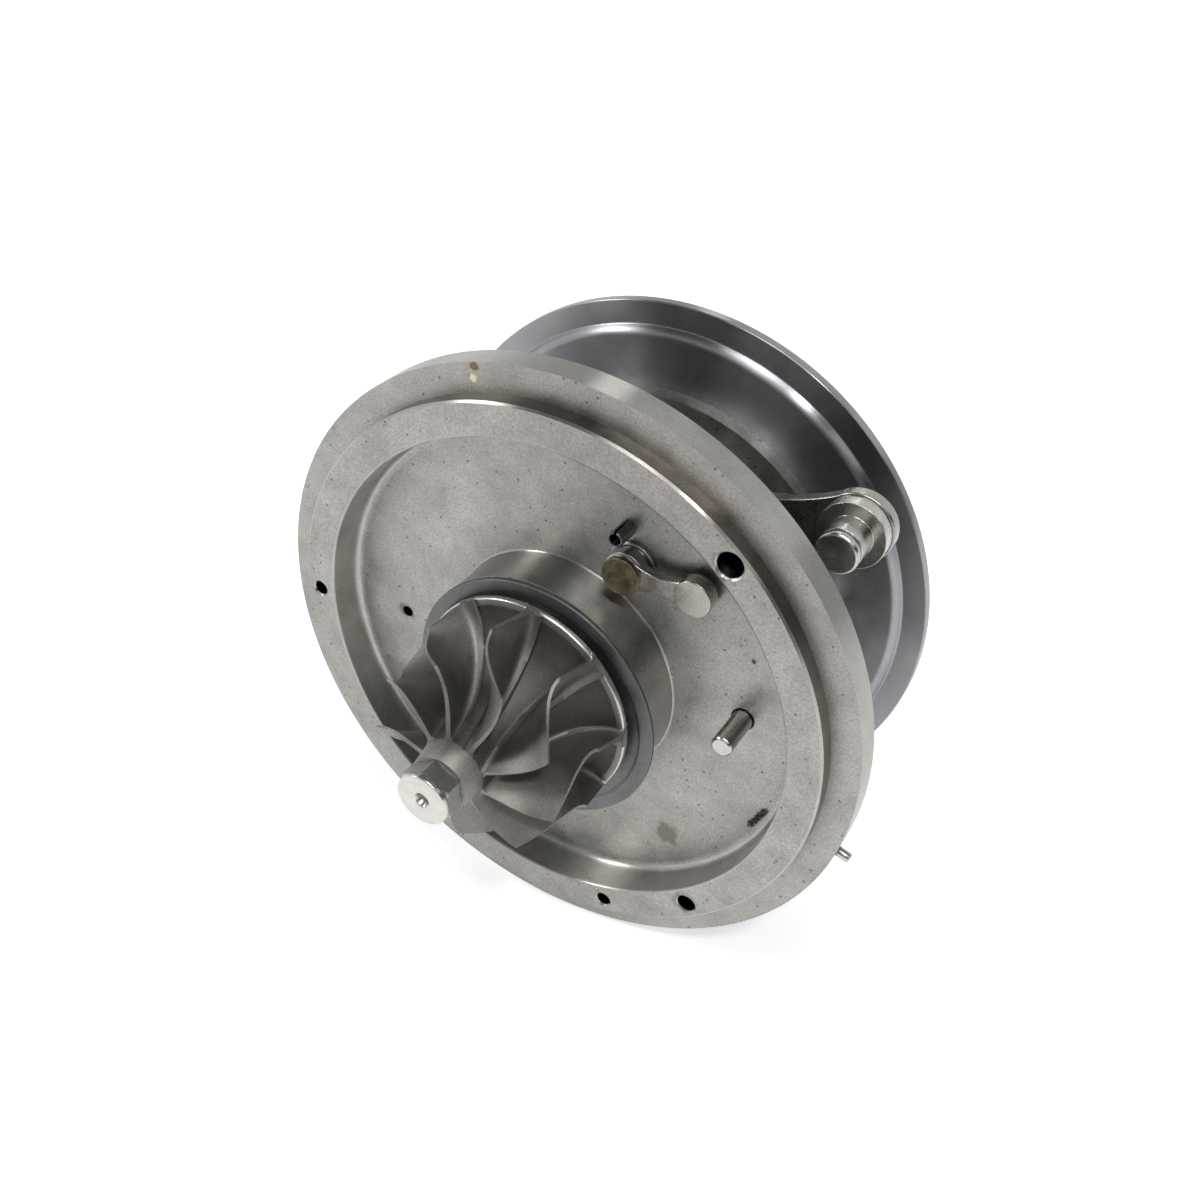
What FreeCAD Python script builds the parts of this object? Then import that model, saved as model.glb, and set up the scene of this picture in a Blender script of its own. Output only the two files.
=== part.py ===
import FreeCAD, Part
import math
import os

from FreeCAD import Vector

# Turbo cartridge: the core of a small turbocharger with variable turbine vanes.
# Millimetres. The shaft axis is Y: the turbine nose points to -Y, the compressor end to +Y,
# and +Z is up. The origin is on the shaft axis, in the front face of the outer flange.

# Turbine flange, the large round front of the bearing housing
flange_r = 61.5
flange_thick = 5.6
ring_r = 56.0
ring_rise = 3.5
dish_r = 49.3
dish_depth = 7.5
web_thick = 6.0
boss_r = 23.8
boss_rise = 9.6
edge_break = 0.4
hex_bevel = 0.6
same_place = 1e-6
ring_inner_round = 0.7
dish_corner = 1.8
boss_corner = 1.0
corner_steps = 5

# Nose of the housing inside the boss, where the heat shield hangs
nose_r = 11.6
nose_rise = 0.6
shield_pocket_r = 22.0
shield_pocket_depth = 2.4

# Holes in the raised ring and the dish: radius from the shaft axis, angle, hole radius, depth
ring_hole_circle = 52.8
ring_hole_depth = 7.0
ring_hole_large_angle = 46.2
ring_hole_large_r = 2.4
ring_hole_medium_angle = -52.4
ring_hole_medium_r = 1.9
ring_hole_small_angles = (176.7, -75.1)
ring_hole_small_r = 1.5
dish_hole_circle = 36.9
dish_hole_angle = -177.7
dish_hole_r = 1.2
dish_hole_depth = 3.5

# Barrel between the two discs, and the round flange at its compressor end. The foot curve gives
# radius and distance behind the web.
barrel_r = 21.0
web_foot_curve = ((30.0, 0.0), (24.5, 2.0), (21.5, 6.0), (21.0, 10.0))
web_back_r = 47.0
barrel_flare = 4.0
rear_flange_r = 40.0
rear_flange_thick = 3.4
housing_rear = 44.5

# Oil inlet on top, oil drain below
inlet_x = -4.0
inlet_y = 21.0
inlet_boss_r = 9.0
inlet_top = 36.0
inlet_thread_r = 5.2
inlet_thread_depth = 12.0
gallery_r = 1.3
drain_y = 22.0
drain_bottom = 45.0
drain_pad_thick = 9.0
drain_pad_r = 8.5
drain_neck_r = 12.6
drain_web_width = 21.0
drain_r = 8.0
drain_bolt_pitch = 38.0
drain_bolt_r = 2.5
drain_bolt_depth = 7.0
oil_chamber_r = 15.0
oil_duct_width = 18.0
oil_duct_height = 6.0

# Rotor: journals, seal boss and the thin compressor end. The foot curve gives the height above the
# journal and the distance behind the seal boss.
journal_r = 3.9
shaft_waist_r = 3.6
stub_r = 2.6
seal_boss_r = 8.3
seal_boss_length = 4.6
seal_gap = 0.3
seal_ring_width = 1.2
seal_ring_wall = 1.15
seal_ring_side_gap = 0.2
seal_ring_mouth = 0.5
turbine_seal_inset = 2.3
slinger_chamber_r = 10.6
journal_foot_curve = ((2.0, 0.7), (0.4, 1.8), (0.0, 3.4))
waist_inset = 1.0
waist_taper = 0.6
shaft_end_bevel = 0.5

# Floating journal bushes, the rear one set back from the thrust stack
bush_length = 7.0
bush_wall = 2.35
shaft_clearance = 0.03
bore_clearance = 0.05
front_bush_y = 6.5
rear_bush_setback = 8.5
circlip_thick = 0.9
circlip_side_gap = 0.3
circlip_wall = 1.5
circlip_seat = 0.6
circlip_mouth = 3.0
bush_oil_hole_r = 0.9
bush_oil_holes = 4

# Thrust stack at the compressor end, let into the housing's rear face
thrust_stack_depth = 9.5
thrust_collar_r = 8.5
thrust_collar_thick = 2.2
thrust_gap = 0.05
thrust_plate_r = 16.0
thrust_plate_thick = 3.1
thrust_foot_top = 9.5
thrust_groove_r = 7.5
thrust_groove_width = 1.2
thrust_groove_depth = 0.4
thrust_chamber_r = 10.0
thrust_sleeve_r = 4.6
deflector_thick = 0.85
deflector_window = 9.0
deflector_window_height = 3.0
deflector_rim = 1.5
flinger_thick = 1.6
flinger_hub_r = 5.6
flinger_clearance = 0.7

# Compressor back plate. The shoulder curve gives the distances outwards and backwards.
plate_rim_r = 56.9
plate_rim_thick = 2.3
plate_shoulder_r = 50.2
plate_shoulder_curve = ((0.0, 0.0), (0.9, 0.25), (1.55, 0.9), (1.9, 1.5))
plate_pilot_r = 53.5
plate_pilot_length = 3.2
plate_bore_gap = 0.4
wheel_pocket_r = 26.2
wheel_pocket_depth = 2.2
o_ring_section = 1.6
face_seal_r = 19.75
face_seal_section = 1.5

# Screws that hold the housing's rear flange to the back plate
screw_circle = 33.5
screw_count = 3
screw_first_angle = -5.0
screw_r = 3.0
screw_hole_gap = 0.3
screw_bite = 5.0
screw_head_height = 4.0
screw_head_flats = 10.0
screw_washer_r = 6.2
screw_washer_thick = 0.9

# Turbine wheel
turbine_r = 21.4
turbine_disc_front = -9.5
turbine_disc_thick = 2.3
turbine_disc_rim_thick = 1.1
turbine_disc_flat_r = 15.0
turbine_inlet_width = 8.3
turbine_exit_tip_r = 19.1
turbine_exit_tip_y = -28.1
turbine_exit_hub_r = 6.2
turbine_exit_hub_y = -30.9
turbine_hub_front_y = -35.2
turbine_hub_front_r = 5.5
turbine_blades = 9
turbine_first_blade = 2.4
turbine_root_thick = 1.7
turbine_tip_thick = 0.9
turbine_lean = 7.5
turbine_tip_wrap = 27.5
turbine_hub_wrap = 26.0
turbine_wrap_power = 1.8
nose_hex_flats = 9.5
nose_hex_length = 3.7
nose_disc_r = 5.0
nose_disc_thick = 1.05
nose_centre_r = 1.45
nose_drill_r = 0.8
nose_centre_depth = 2.7

# Both wheels
blade_root_depth = 0.5
blade_exit_thinning = 0.3
hub_curve_steps = 6
blade_sections = 7

# Compressor wheel, with its reaches counted from its back
compressor_r = 25.0
compressor_disc_thick = 1.3
compressor_back_gap = 0.6
compressor_tip_width = 3.0
compressor_eye_r = 18.3
compressor_eye_reach = 18.6
compressor_hub_r = 5.8
compressor_hub_reach = 19.6
compressor_nose_reach = 21.6
compressor_blade_pairs = 6
compressor_root_thick = 1.3
compressor_tip_thick = 0.7
compressor_wrap = 34.0
compressor_sweep = 26.0
compressor_wrap_power = 1.6
compressor_tip_turn = 1.1
splitter_reach = 58.0
splitter_sections = 5
nut_length = 5.5
nut_flats = 8.5
nut_flange_r = 5.3
nut_flange_thick = 1.3
shaft_end_proud = 2.0

# Vane crank: the bush in the housing, its shaft, both levers and the pin
crank_circle = 31.5
crank_angle = 60.8
crank_shaft_r = 3.5
crank_clearance = 0.03
crank_bush_r = 4.5
crank_bush_proud = 1.0
crank_bush_end = 18.0
crank_boss_r = 9.0
crank_washer_gap = 0.4
inner_arm_length = 13.4
inner_arm_angle = -2.0
inner_head_r = 3.9
inner_head_thick = 3.4
inner_weld_r = 2.25
inner_arm_setback = 0.6
inner_arm_thick = 2.0
inner_arm_half_width = 1.7
inner_arm_root_r = 3.3
inner_arm_tip_r = 3.2
arm_blend_angle = 62.0
finger_r = 3.5
finger_rise = 0.2
outer_arm_length = 32.9
outer_arm_angle = 11.4
outer_arm_front = 24.0
outer_arm_thick = 2.6
outer_head_r = 7.4
outer_hub_r = 6.4
outer_waist = 4.3
outer_end_r = 6.7
pin_r = 3.9
pin_length = 6.75
pin_collar_r = 6.3
pin_collar_thick = 2.9
pin_rivet_r = 3.1
pin_rivet_head_r = 4.2
pin_rivet_head_thick = 0.7
clip_groove_from_end = 1.4
clip_groove_width = 0.55
clip_groove_depth = 0.7

# Pins pressed into the housing
dowel_circle = 37.9
dowel_angle = 3.0
dowel_r = 2.0
dowel_bevel = 0.4
dowel_proud = 8.9
dowel_sunk_r = 1.6
dowel_sunk = 4.0
spring_pin_circle = 37.2
spring_pin_angle = 67.6
spring_pin_r = 1.5
spring_pin_sunk_r = 1.3
spring_pin_wall = 0.4
spring_pin_slot = 0.5
spring_pin_bevel_width = 0.2
spring_pin_bevel_length = 0.5
spring_pin_proud = 4.8
spring_pin_sunk = 4.0
index_pin_angle = -17.9
index_pin_r = 1.0
index_pin_shank_r = 0.8
index_pin_proud = 2.6
index_pin_sunk = 5.5
index_pin_y = 2.8
index_pin_bevel = 0.3

# Heat shield, a pressed ring that hangs on the housing's nose
shield_r = 25.4
shield_gauge = 0.8
shield_clearance = 0.3
shield_slope = 1.2
shield_play = 2.1
shield_rest_gap = 0.1

# Places worked out from the sizes above
ring_front = -ring_rise
dish_floor = ring_front + dish_depth
boss_front = dish_floor - boss_rise
nose_front = boss_front - nose_rise
web_back = dish_floor + web_thick
shield_pocket_floor = boss_front + shield_pocket_depth
shield_flat_r = shield_pocket_r - shield_play - shield_clearance
rear_flange_front = housing_rear - rear_flange_thick
thrust_shoulder = housing_rear - thrust_stack_depth
rear_bush_y = thrust_shoulder - rear_bush_setback
bearing_bore_r = journal_r + shaft_clearance + bush_wall + bore_clearance
seal_bore_r = seal_boss_r + seal_gap
seal_boss_front = nose_front + edge_break
seal_boss_back = seal_boss_front + seal_boss_length
turbine_seal_y = seal_boss_front + turbine_seal_inset
slinger_chamber_end = front_bush_y - circlip_side_gap - circlip_thick - circlip_seat
thrust_plate_front = thrust_shoulder + thrust_collar_thick + thrust_gap
thrust_plate_back = thrust_plate_front + thrust_plate_thick
flinger_front = thrust_plate_back + thrust_gap
flinger_back = flinger_front + flinger_thick
spigot_front = thrust_plate_back + deflector_thick
plate_bore_r = flinger_hub_r + plate_bore_gap
plate_rim_front = housing_rear + plate_shoulder_curve[-1][1]
plate_rim_back = plate_rim_front + plate_rim_thick
diffuser_face = plate_rim_back + plate_pilot_length
pocket_floor = diffuser_face - wheel_pocket_depth
compressor_back = pocket_floor + compressor_back_gap
compressor_disc_front = compressor_back + compressor_disc_thick
compressor_eye_y = compressor_back + compressor_eye_reach
compressor_hub_y = compressor_back + compressor_hub_reach
compressor_nose_y = compressor_back + compressor_nose_reach
compressor_seal_y = (flinger_back + pocket_floor) / 2
turbine_back = turbine_disc_front + turbine_disc_thick
turbine_nose = turbine_hub_front_y - nose_hex_length - nose_disc_thick
shaft_end = compressor_nose_y + nut_length + shaft_end_proud


def polar(radius, degrees, y=0.0):
    """Point at a radius and an angle about the shaft axis, the angle counted from +X towards +Z."""
    turn = math.radians(degrees)
    return Vector(radius * math.cos(turn), y, radius * math.sin(turn))


crank_axis = polar(crank_circle, crank_angle)
finger_centre = crank_axis + polar(inner_arm_length, inner_arm_angle)
pin_centre = crank_axis + polar(outer_arm_length, outer_arm_angle)


def turned(outline, centre=None):
    """Solid turned about an axis parallel to Y. The outline is (radius, y) points, or, for a
    curved stretch, a list of (radius, y) points that a smooth curve passes through."""
    edges = []
    first = None
    last = None
    for step in outline:
        if isinstance(step, list):
            points = [Vector(r, y, 0) for r, y in step]
        else:
            points = [Vector(step[0], step[1], 0)]
        if first is None:
            first = points[0]
        elif last.distanceToPoint(points[0]) > same_place:
            edges.append(Part.makeLine(last, points[0]))
        if len(points) > 1:
            curve = Part.BSplineCurve()
            curve.interpolate(points)
            edges.append(curve.toShape())
        last = points[-1]
    if last.distanceToPoint(first) > same_place:
        edges.append(Part.makeLine(last, first))
    face = Part.Face(Part.Wire(edges))
    solid = face.revolve(Vector(0, 0, 0), Vector(0, 1, 0), 360)
    if centre is not None:
        solid.translate(Vector(centre.x, 0, centre.z))
    return solid


def round_corner(corner, start, end, size):
    """Points of a quarter curve that rounds a square corner of a turned outline."""
    points = []
    for i in range(corner_steps + 1):
        turn = math.radians(90 * i / corner_steps)
        along = size * (1 - math.sin(turn))
        past = size * (1 - math.cos(turn))
        points.append((corner[0] + start[0] * along + end[0] * past,
                       corner[1] + start[1] * along + end[1] * past))
    return points


def rod(radius, y_from, y_to, centre=Vector(0, 0, 0)):
    """Cylinder parallel to the shaft axis."""
    return Part.makeCylinder(radius, y_to - y_from, Vector(centre.x, y_from, centre.z), Vector(0, 1, 0))


def tube(outer, inner, y_from, y_to, centre=Vector(0, 0, 0)):
    """Plain ring parallel to the shaft axis."""
    return rod(outer, y_from, y_to, centre).cut(rod(inner, y_from, y_to, centre))


def hex_prism(flats, y_from, y_to, centre=Vector(0, 0, 0)):
    """Hexagon parallel to the shaft axis, with two corners along X and chamfered ends."""
    corner_r = flats / math.sqrt(3)
    corners = [centre + polar(corner_r, 60 * i, y_from) for i in range(7)]
    prism = Part.Face(Part.makePolygon(corners)).extrude(Vector(0, y_to - y_from, 0))
    bevel = (corner_r - flats / 2) * hex_bevel
    outline = [(0, y_from), (flats / 2, y_from), (corner_r, y_from + bevel),
               (corner_r, y_to - bevel), (flats / 2, y_to), (0, y_to)]
    return prism.common(turned(outline, centre))


def arm_outline(start, start_r, end, end_r, waist, y_from, thick):
    """Flat lever: two round ends joined by a waisted arm."""
    along = (end - start).normalize()
    across = Vector(-along.z, 0, along.x)
    up = Vector(0, y_from, 0)
    lean = math.radians(arm_blend_angle)
    middle = (start + end) * 0.5

    def rim(centre, radius, direction, side):
        outwards = along * (direction * math.cos(lean)) + across * (side * math.sin(lean))
        return centre + outwards * radius + up

    upper = Part.Arc(rim(start, start_r, 1, 1), middle + across * waist + up, rim(end, end_r, -1, 1))
    lower = Part.Arc(rim(end, end_r, -1, -1), middle - across * waist + up, rim(start, start_r, 1, -1))
    nose = Part.Arc(rim(end, end_r, -1, 1), end + along * end_r + up, rim(end, end_r, -1, -1))
    heel = Part.Arc(rim(start, start_r, 1, -1), start - along * start_r + up, rim(start, start_r, 1, 1))
    wire = Part.Wire([upper.toShape(), nose.toShape(), lower.toShape(), heel.toShape()])
    return Part.Face(wire).extrude(Vector(0, thick, 0))


# Bladed wheels

def quarter(outer, inner, degrees):
    """Point (radius, y) on a quarter ellipse that leaves the outer point radially and
    reaches the inner point along the shaft."""
    turn = math.radians(degrees)
    radius = outer[0] - (outer[0] - inner[0]) * math.sin(turn)
    y = inner[1] + (outer[1] - inner[1]) * math.cos(turn)
    return radius, y


def blade_section(degrees, hub, shroud, root_thick, tip_thick, angles):
    """One four-sided section of a blade, from inside the hub to the shroud edge."""
    step = 1.0

    def span(at):
        hub_angle, shroud_angle = angles(at)
        r_hub, y_hub = quarter(hub[0], hub[1], at)
        r_tip, y_tip = quarter(shroud[0], shroud[1], at)
        return polar(r_hub, hub_angle, y_hub), polar(r_tip, shroud_angle, y_tip)

    root, tip = span(degrees)
    before = span(degrees - step)
    after = span(degrees + step)
    travel = (after[0] + after[1] - before[0] - before[1]).normalize()
    side = (tip - root).cross(travel).normalize()
    half_root = side * (root_thick / 2)
    half_tip = side * (tip_thick / 2)
    return Part.makePolygon([root - half_root, tip - half_tip, tip + half_tip, root + half_root,
                             root - half_root])


def blade(hub, shroud, root_thick, tip_thick, angles, reach=90.0, sections=blade_sections):
    """Twisted blade lofted through its sections, from the wheel's rim to the reach angle."""
    wires = []
    for i in range(sections):
        at = reach * i / (sections - 1)
        thin = 1 - blade_exit_thinning * i / (sections - 1)
        wires.append(blade_section(at, hub, shroud, root_thick * thin, tip_thick * thin, angles))
    return Part.makeLoft(wires, True, False)


def sunk(hub):
    """Hub curve moved into the metal, so that a blade's root ends inside the hub."""
    (r_rim, y_rim), (r_end, y_end) = hub
    inward = math.copysign(blade_root_depth, y_rim - y_end)
    return (r_rim, y_rim + inward), (r_end - blade_root_depth, y_end)


def hub_outline(hub):
    """Points of the hub curve, from the wheel's rim to the end of the blades."""
    return [quarter(hub[0], hub[1], 90 * i / hub_curve_steps) for i in range(hub_curve_steps + 1)]


def around(solid, count, first=0.0):
    """Copies of a solid turned about the shaft axis."""
    copies = []
    for i in range(count):
        copy = solid.copy()
        copy.rotate(Vector(0, 0, 0), Vector(0, 1, 0), -(first + 360.0 * i / count))
        copies.append(copy)
    return copies


def turbine_wheel():
    hub = ((turbine_r, turbine_disc_front), (turbine_exit_hub_r, turbine_exit_hub_y))
    shroud = ((turbine_r, turbine_disc_front - turbine_inlet_width),
              (turbine_exit_tip_r, turbine_exit_tip_y))
    body = turned([(0, turbine_hub_front_y), (turbine_hub_front_r, turbine_hub_front_y),
                   hub_outline(hub)[::-1],
                   (turbine_r, turbine_disc_front + turbine_disc_rim_thick),
                   (turbine_disc_flat_r, turbine_back), (seal_boss_r, turbine_back),
                   (seal_boss_r, seal_boss_front), (0, seal_boss_front)])

    def angles(at):
        travel = max(0.0, 1 - math.cos(math.radians(at))) ** turbine_wrap_power
        return -turbine_hub_wrap * travel, turbine_lean - turbine_tip_wrap * travel

    one = blade(sunk(hub), shroud, turbine_root_thick, turbine_tip_thick, angles)
    hex_front = turbine_hub_front_y - nose_hex_length
    nose_hex = hex_prism(nose_hex_flats, hex_front, turbine_hub_front_y)
    nose_disc = turned([(0, turbine_nose), (nose_disc_r - edge_break, turbine_nose),
                        (nose_disc_r, turbine_nose + edge_break), (nose_disc_r, hex_front), (0, hex_front)])
    wheel = body.multiFuse(around(one, turbine_blades, turbine_first_blade) + [nose_hex, nose_disc])
    centre_drill = turned([(0, turbine_nose), (nose_centre_r, turbine_nose),
                           (nose_drill_r, turbine_nose + nose_centre_r),
                           (nose_drill_r, turbine_nose + nose_centre_depth),
                           (0, turbine_nose + nose_centre_depth + nose_drill_r)])
    return wheel.cut(centre_drill)


def compressor_wheel():
    hub = ((compressor_r, compressor_disc_front), (compressor_hub_r, compressor_hub_y))
    shroud = ((compressor_r, compressor_disc_front + compressor_tip_width),
              (compressor_eye_r, compressor_eye_y))
    body = turned([(stub_r, compressor_back), (compressor_r, compressor_back), hub_outline(hub),
                   (compressor_hub_r, compressor_nose_y), (stub_r, compressor_nose_y)])

    def angles(at):
        turn = math.radians(at)
        travel = max(0.0, 1 - math.cos(turn)) ** compressor_wrap_power
        swept = compressor_sweep * (1 - math.sin(turn)) ** 2
        both = compressor_wrap * travel + swept
        return both, both * compressor_tip_turn

    full = blade(sunk(hub), shroud, compressor_root_thick, compressor_tip_thick, angles)
    splitter = blade(sunk(hub), shroud, compressor_root_thick, compressor_tip_thick, angles,
                     splitter_reach, splitter_sections)
    blades = around(full, compressor_blade_pairs)
    blades += around(splitter, compressor_blade_pairs, 180.0 / compressor_blade_pairs)
    wheel = body.multiFuse(blades)
    return wheel.common(rod(compressor_r, compressor_back, compressor_nose_y)).cut(
        rod(stub_r, compressor_back, compressor_nose_y))


# Bearing housing

def housing_body():
    """The turned outside: flange, raised ring, dish, boss, web, barrel and rear flange."""
    ring_corner = round_corner((dish_r, ring_front), (0, 1), (1, 0), ring_inner_round)
    floor_corner = round_corner((dish_r, dish_floor), (-1, 0), (0, -1), dish_corner)
    boss_foot = round_corner((boss_r, dish_floor), (0, -1), (1, 0), boss_corner)
    return turned([
        (0, nose_front),
        (nose_r, nose_front),
        (nose_r, shield_pocket_floor),
        (shield_pocket_r, shield_pocket_floor),
        (shield_pocket_r, boss_front),
        (boss_r - edge_break, boss_front),
        (boss_r, boss_front + edge_break),
        boss_foot,
        floor_corner,
        ring_corner,
        (ring_r - edge_break, ring_front),
        (ring_r, ring_front + edge_break),
        (ring_r, 0),
        (flange_r - edge_break, 0),
        (flange_r, edge_break),
        (flange_r, flange_thick - edge_break),
        (flange_r - edge_break, flange_thick),
        (web_back_r + web_back - flange_thick, flange_thick),
        (web_back_r, web_back),
        [(radius, web_back + behind) for radius, behind in web_foot_curve],
        (barrel_r, rear_flange_front - barrel_flare),
        (barrel_r + barrel_flare, rear_flange_front),
        (rear_flange_r - edge_break, rear_flange_front),
        (rear_flange_r, rear_flange_front + edge_break),
        (rear_flange_r, housing_rear),
        (0, housing_rear),
    ])


def drain_pad():
    """Flat oval pad and its neck for the oil drain, below the barrel."""
    half = drain_bolt_pitch / 2
    ends = [Part.makeCylinder(drain_pad_r, drain_pad_thick, Vector(side * half, drain_y, -drain_bottom))
            for side in (-1, 1)]
    middle = Part.makeBox(drain_bolt_pitch, 2 * drain_neck_r, drain_pad_thick,
                          Vector(-half, drain_y - drain_neck_r, -drain_bottom))
    trim = Part.makeCylinder(half + drain_pad_r, drain_pad_thick, Vector(0, drain_y, -drain_bottom))
    neck = Part.makeCylinder(drain_neck_r, drain_bottom, Vector(0, drain_y, -drain_bottom))
    web = Part.makeBox(drain_web_width, 2 * drain_pad_r, drain_bottom - drain_pad_r,
                       Vector(-drain_web_width / 2, drain_y - drain_pad_r, -drain_bottom))
    return [middle.common(trim), neck, web] + ends


def oil_passages():
    """Everything that the oil runs through, as solids to cut away."""
    thread = Part.makeCylinder(inlet_thread_r, inlet_thread_depth,
                               Vector(inlet_x, inlet_y, inlet_top - inlet_thread_depth))
    source = Vector(inlet_x, inlet_y, inlet_top - inlet_thread_depth + gallery_r)
    galleries = []
    for bush_y in (front_bush_y, rear_bush_y):
        target = Vector(0, bush_y + bush_length / 2, bearing_bore_r - gallery_r)
        run = target - source
        galleries.append(Part.makeCylinder(gallery_r, run.Length, source, run))
    drain = Part.makeCylinder(drain_r, drain_bottom - oil_chamber_r / 2, Vector(0, drain_y, -drain_bottom))
    half = drain_bolt_pitch / 2
    bolts = [Part.makeCylinder(drain_bolt_r, drain_bolt_depth, Vector(side * half, drain_y, -drain_bottom))
             for side in (-1, 1)]
    chamber_start = front_bush_y + bush_length + circlip_side_gap + circlip_thick + circlip_seat
    chamber_end = rear_bush_y - circlip_side_gap - circlip_thick - circlip_seat
    chamber = rod(oil_chamber_r, chamber_start, chamber_end)
    duct = Part.makeBox(oil_duct_width, thrust_plate_front - chamber_start, oil_duct_height,
                        Vector(-oil_duct_width / 2, chamber_start, -oil_chamber_r))
    return [thread, drain, chamber, duct] + galleries + bolts


def bearing_bores():
    """The stepped bore along the shaft axis, from the turbine end to the compressor end."""
    cuts = [
        rod(seal_bore_r, nose_front, seal_boss_back + seal_gap),
        rod(slinger_chamber_r, seal_boss_back + seal_gap, slinger_chamber_end),
        rod(bearing_bore_r, slinger_chamber_end, thrust_shoulder),
        rod(thrust_chamber_r, thrust_shoulder, thrust_plate_front),
        rod(thrust_plate_r, thrust_plate_front, housing_rear),
        tube(face_seal_r + face_seal_section, face_seal_r - face_seal_section,
             housing_rear - face_seal_section, housing_rear),
    ]
    for y in circlip_places():
        cuts.append(rod(bearing_bore_r + circlip_seat, y, y + circlip_thick))
    return cuts


def bearing_housing():
    crank_boss = rod(crank_boss_r, web_back - edge_break, crank_bush_end - edge_break, crank_axis)
    inlet_boss = Part.makeCylinder(inlet_boss_r, inlet_top, Vector(inlet_x, inlet_y, 0))
    body = housing_body().multiFuse([crank_boss, inlet_boss] + drain_pad())
    cuts = bearing_bores() + oil_passages()
    cuts.append(rod(crank_bush_r, dish_floor, crank_bush_end, crank_axis))
    for centre, radius, depth, top in housing_holes():
        cuts.append(rod(radius, top, top + depth, centre))
    for centre in screw_places():
        cuts.append(rod(screw_r + screw_hole_gap, rear_flange_front, housing_rear, centre))
    cuts.append(radial_rod(index_pin_shank_r, flange_r - index_pin_sunk, flange_r))
    return body.cut(cuts)


def housing_holes():
    """Axial holes in the front: centre, radius, depth and the face that each starts from."""
    holes = [
        (polar(ring_hole_circle, ring_hole_large_angle), ring_hole_large_r, ring_hole_depth, ring_front),
        (polar(ring_hole_circle, ring_hole_medium_angle), ring_hole_medium_r, ring_hole_depth, ring_front),
        (polar(dish_hole_circle, dish_hole_angle), dish_hole_r, dish_hole_depth, dish_floor),
        (polar(dowel_circle, dowel_angle), dowel_sunk_r, dowel_sunk, dish_floor),
        (polar(spring_pin_circle, spring_pin_angle), spring_pin_sunk_r, spring_pin_sunk, dish_floor),
    ]
    for angle in ring_hole_small_angles:
        holes.append((polar(ring_hole_circle, angle), ring_hole_small_r, ring_hole_depth, ring_front))
    return holes


def radial_rod(radius, r_from, r_to):
    """Cylinder that points outwards from the flange's rim, at the index pin's place."""
    direction = polar(1.0, index_pin_angle)
    start = polar(r_from, index_pin_angle, index_pin_y)
    return Part.makeCylinder(radius, r_to - r_from, start, direction)


# Bearings and the thrust stack

def circlip_places():
    """Front face of each snap ring, one on either side of each bush."""
    places = []
    for bush_y in (front_bush_y, rear_bush_y):
        places.append(bush_y - circlip_side_gap - circlip_thick)
        places.append(bush_y + bush_length + circlip_side_gap)
    return places


def journal_bush(bush_y):
    bush = tube(bearing_bore_r - bore_clearance, journal_r + shaft_clearance, bush_y, bush_y + bush_length)
    drill = Part.makeCylinder(bush_oil_hole_r, bearing_bore_r, Vector(0, bush_y + bush_length / 2, 0),
                              Vector(0, 0, 1))
    return bush.cut(around(drill, bush_oil_holes))


def journal_circlips():
    rings = []
    outer = bearing_bore_r + circlip_seat
    for y in circlip_places():
        ring = tube(outer, outer - circlip_wall, y, y + circlip_thick)
        mouth = Part.makeBox(circlip_mouth, circlip_thick, outer, Vector(-circlip_mouth / 2, y, -outer))
        rings.append(ring.cut(mouth))
    return Part.makeCompound(rings)


def split_ring(outer, y_middle):
    """Piston ring with its narrow gap on top."""
    y = y_middle - seal_ring_width / 2
    ring = tube(outer, outer - seal_ring_wall, y, y + seal_ring_width)
    gap = Part.makeBox(seal_ring_mouth, seal_ring_width, 2 * seal_ring_wall,
                       Vector(-seal_ring_mouth / 2, y, outer - 1.5 * seal_ring_wall))
    return ring.cut(gap)


def ring_groove(outer, y_middle):
    """Groove for a piston ring, cut into a hub that runs inside a bore of the given radius."""
    half = seal_ring_width / 2 + seal_ring_side_gap
    floor = outer - seal_ring_wall - seal_gap
    return tube(outer + seal_gap, floor, y_middle - half, y_middle + half)


def rotor_shaft():
    front_waist = front_bush_y + bush_length + waist_inset
    rear_waist = rear_bush_y - waist_inset
    foot = [(journal_r + rise, seal_boss_back + behind) for rise, behind in journal_foot_curve]
    shaft = turned([
        (0, seal_boss_front),
        (seal_boss_r, seal_boss_front),
        [(seal_boss_r, seal_boss_back)] + foot,
        (journal_r, front_waist),
        (shaft_waist_r, front_waist + waist_taper),
        (shaft_waist_r, rear_waist - waist_taper),
        (journal_r, rear_waist),
        (journal_r, thrust_shoulder),
        (stub_r, thrust_shoulder),
        (stub_r, shaft_end - shaft_end_bevel),
        (stub_r - shaft_end_bevel, shaft_end),
        (0, shaft_end),
    ])
    return shaft.cut(ring_groove(seal_bore_r, turbine_seal_y))


def thrust_collar():
    return tube(thrust_collar_r, stub_r, thrust_shoulder, thrust_shoulder + thrust_collar_thick)


def thrust_bearing():
    """Bronze thrust plate with an oil groove on each face and an open foot for the drain."""
    plate = tube(thrust_plate_r, thrust_sleeve_r + bore_clearance, thrust_plate_front, thrust_plate_back)
    foot = Part.makeBox(oil_duct_width, thrust_plate_thick, thrust_plate_r,
                        Vector(-oil_duct_width / 2, thrust_plate_front, -thrust_plate_r - thrust_foot_top))
    grooves = []
    for y in (thrust_plate_front, thrust_plate_back - thrust_groove_depth):
        grooves.append(tube(thrust_groove_r, thrust_groove_r - thrust_groove_width,
                            y, y + thrust_groove_depth))
    return plate.cut([foot] + grooves)


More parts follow.
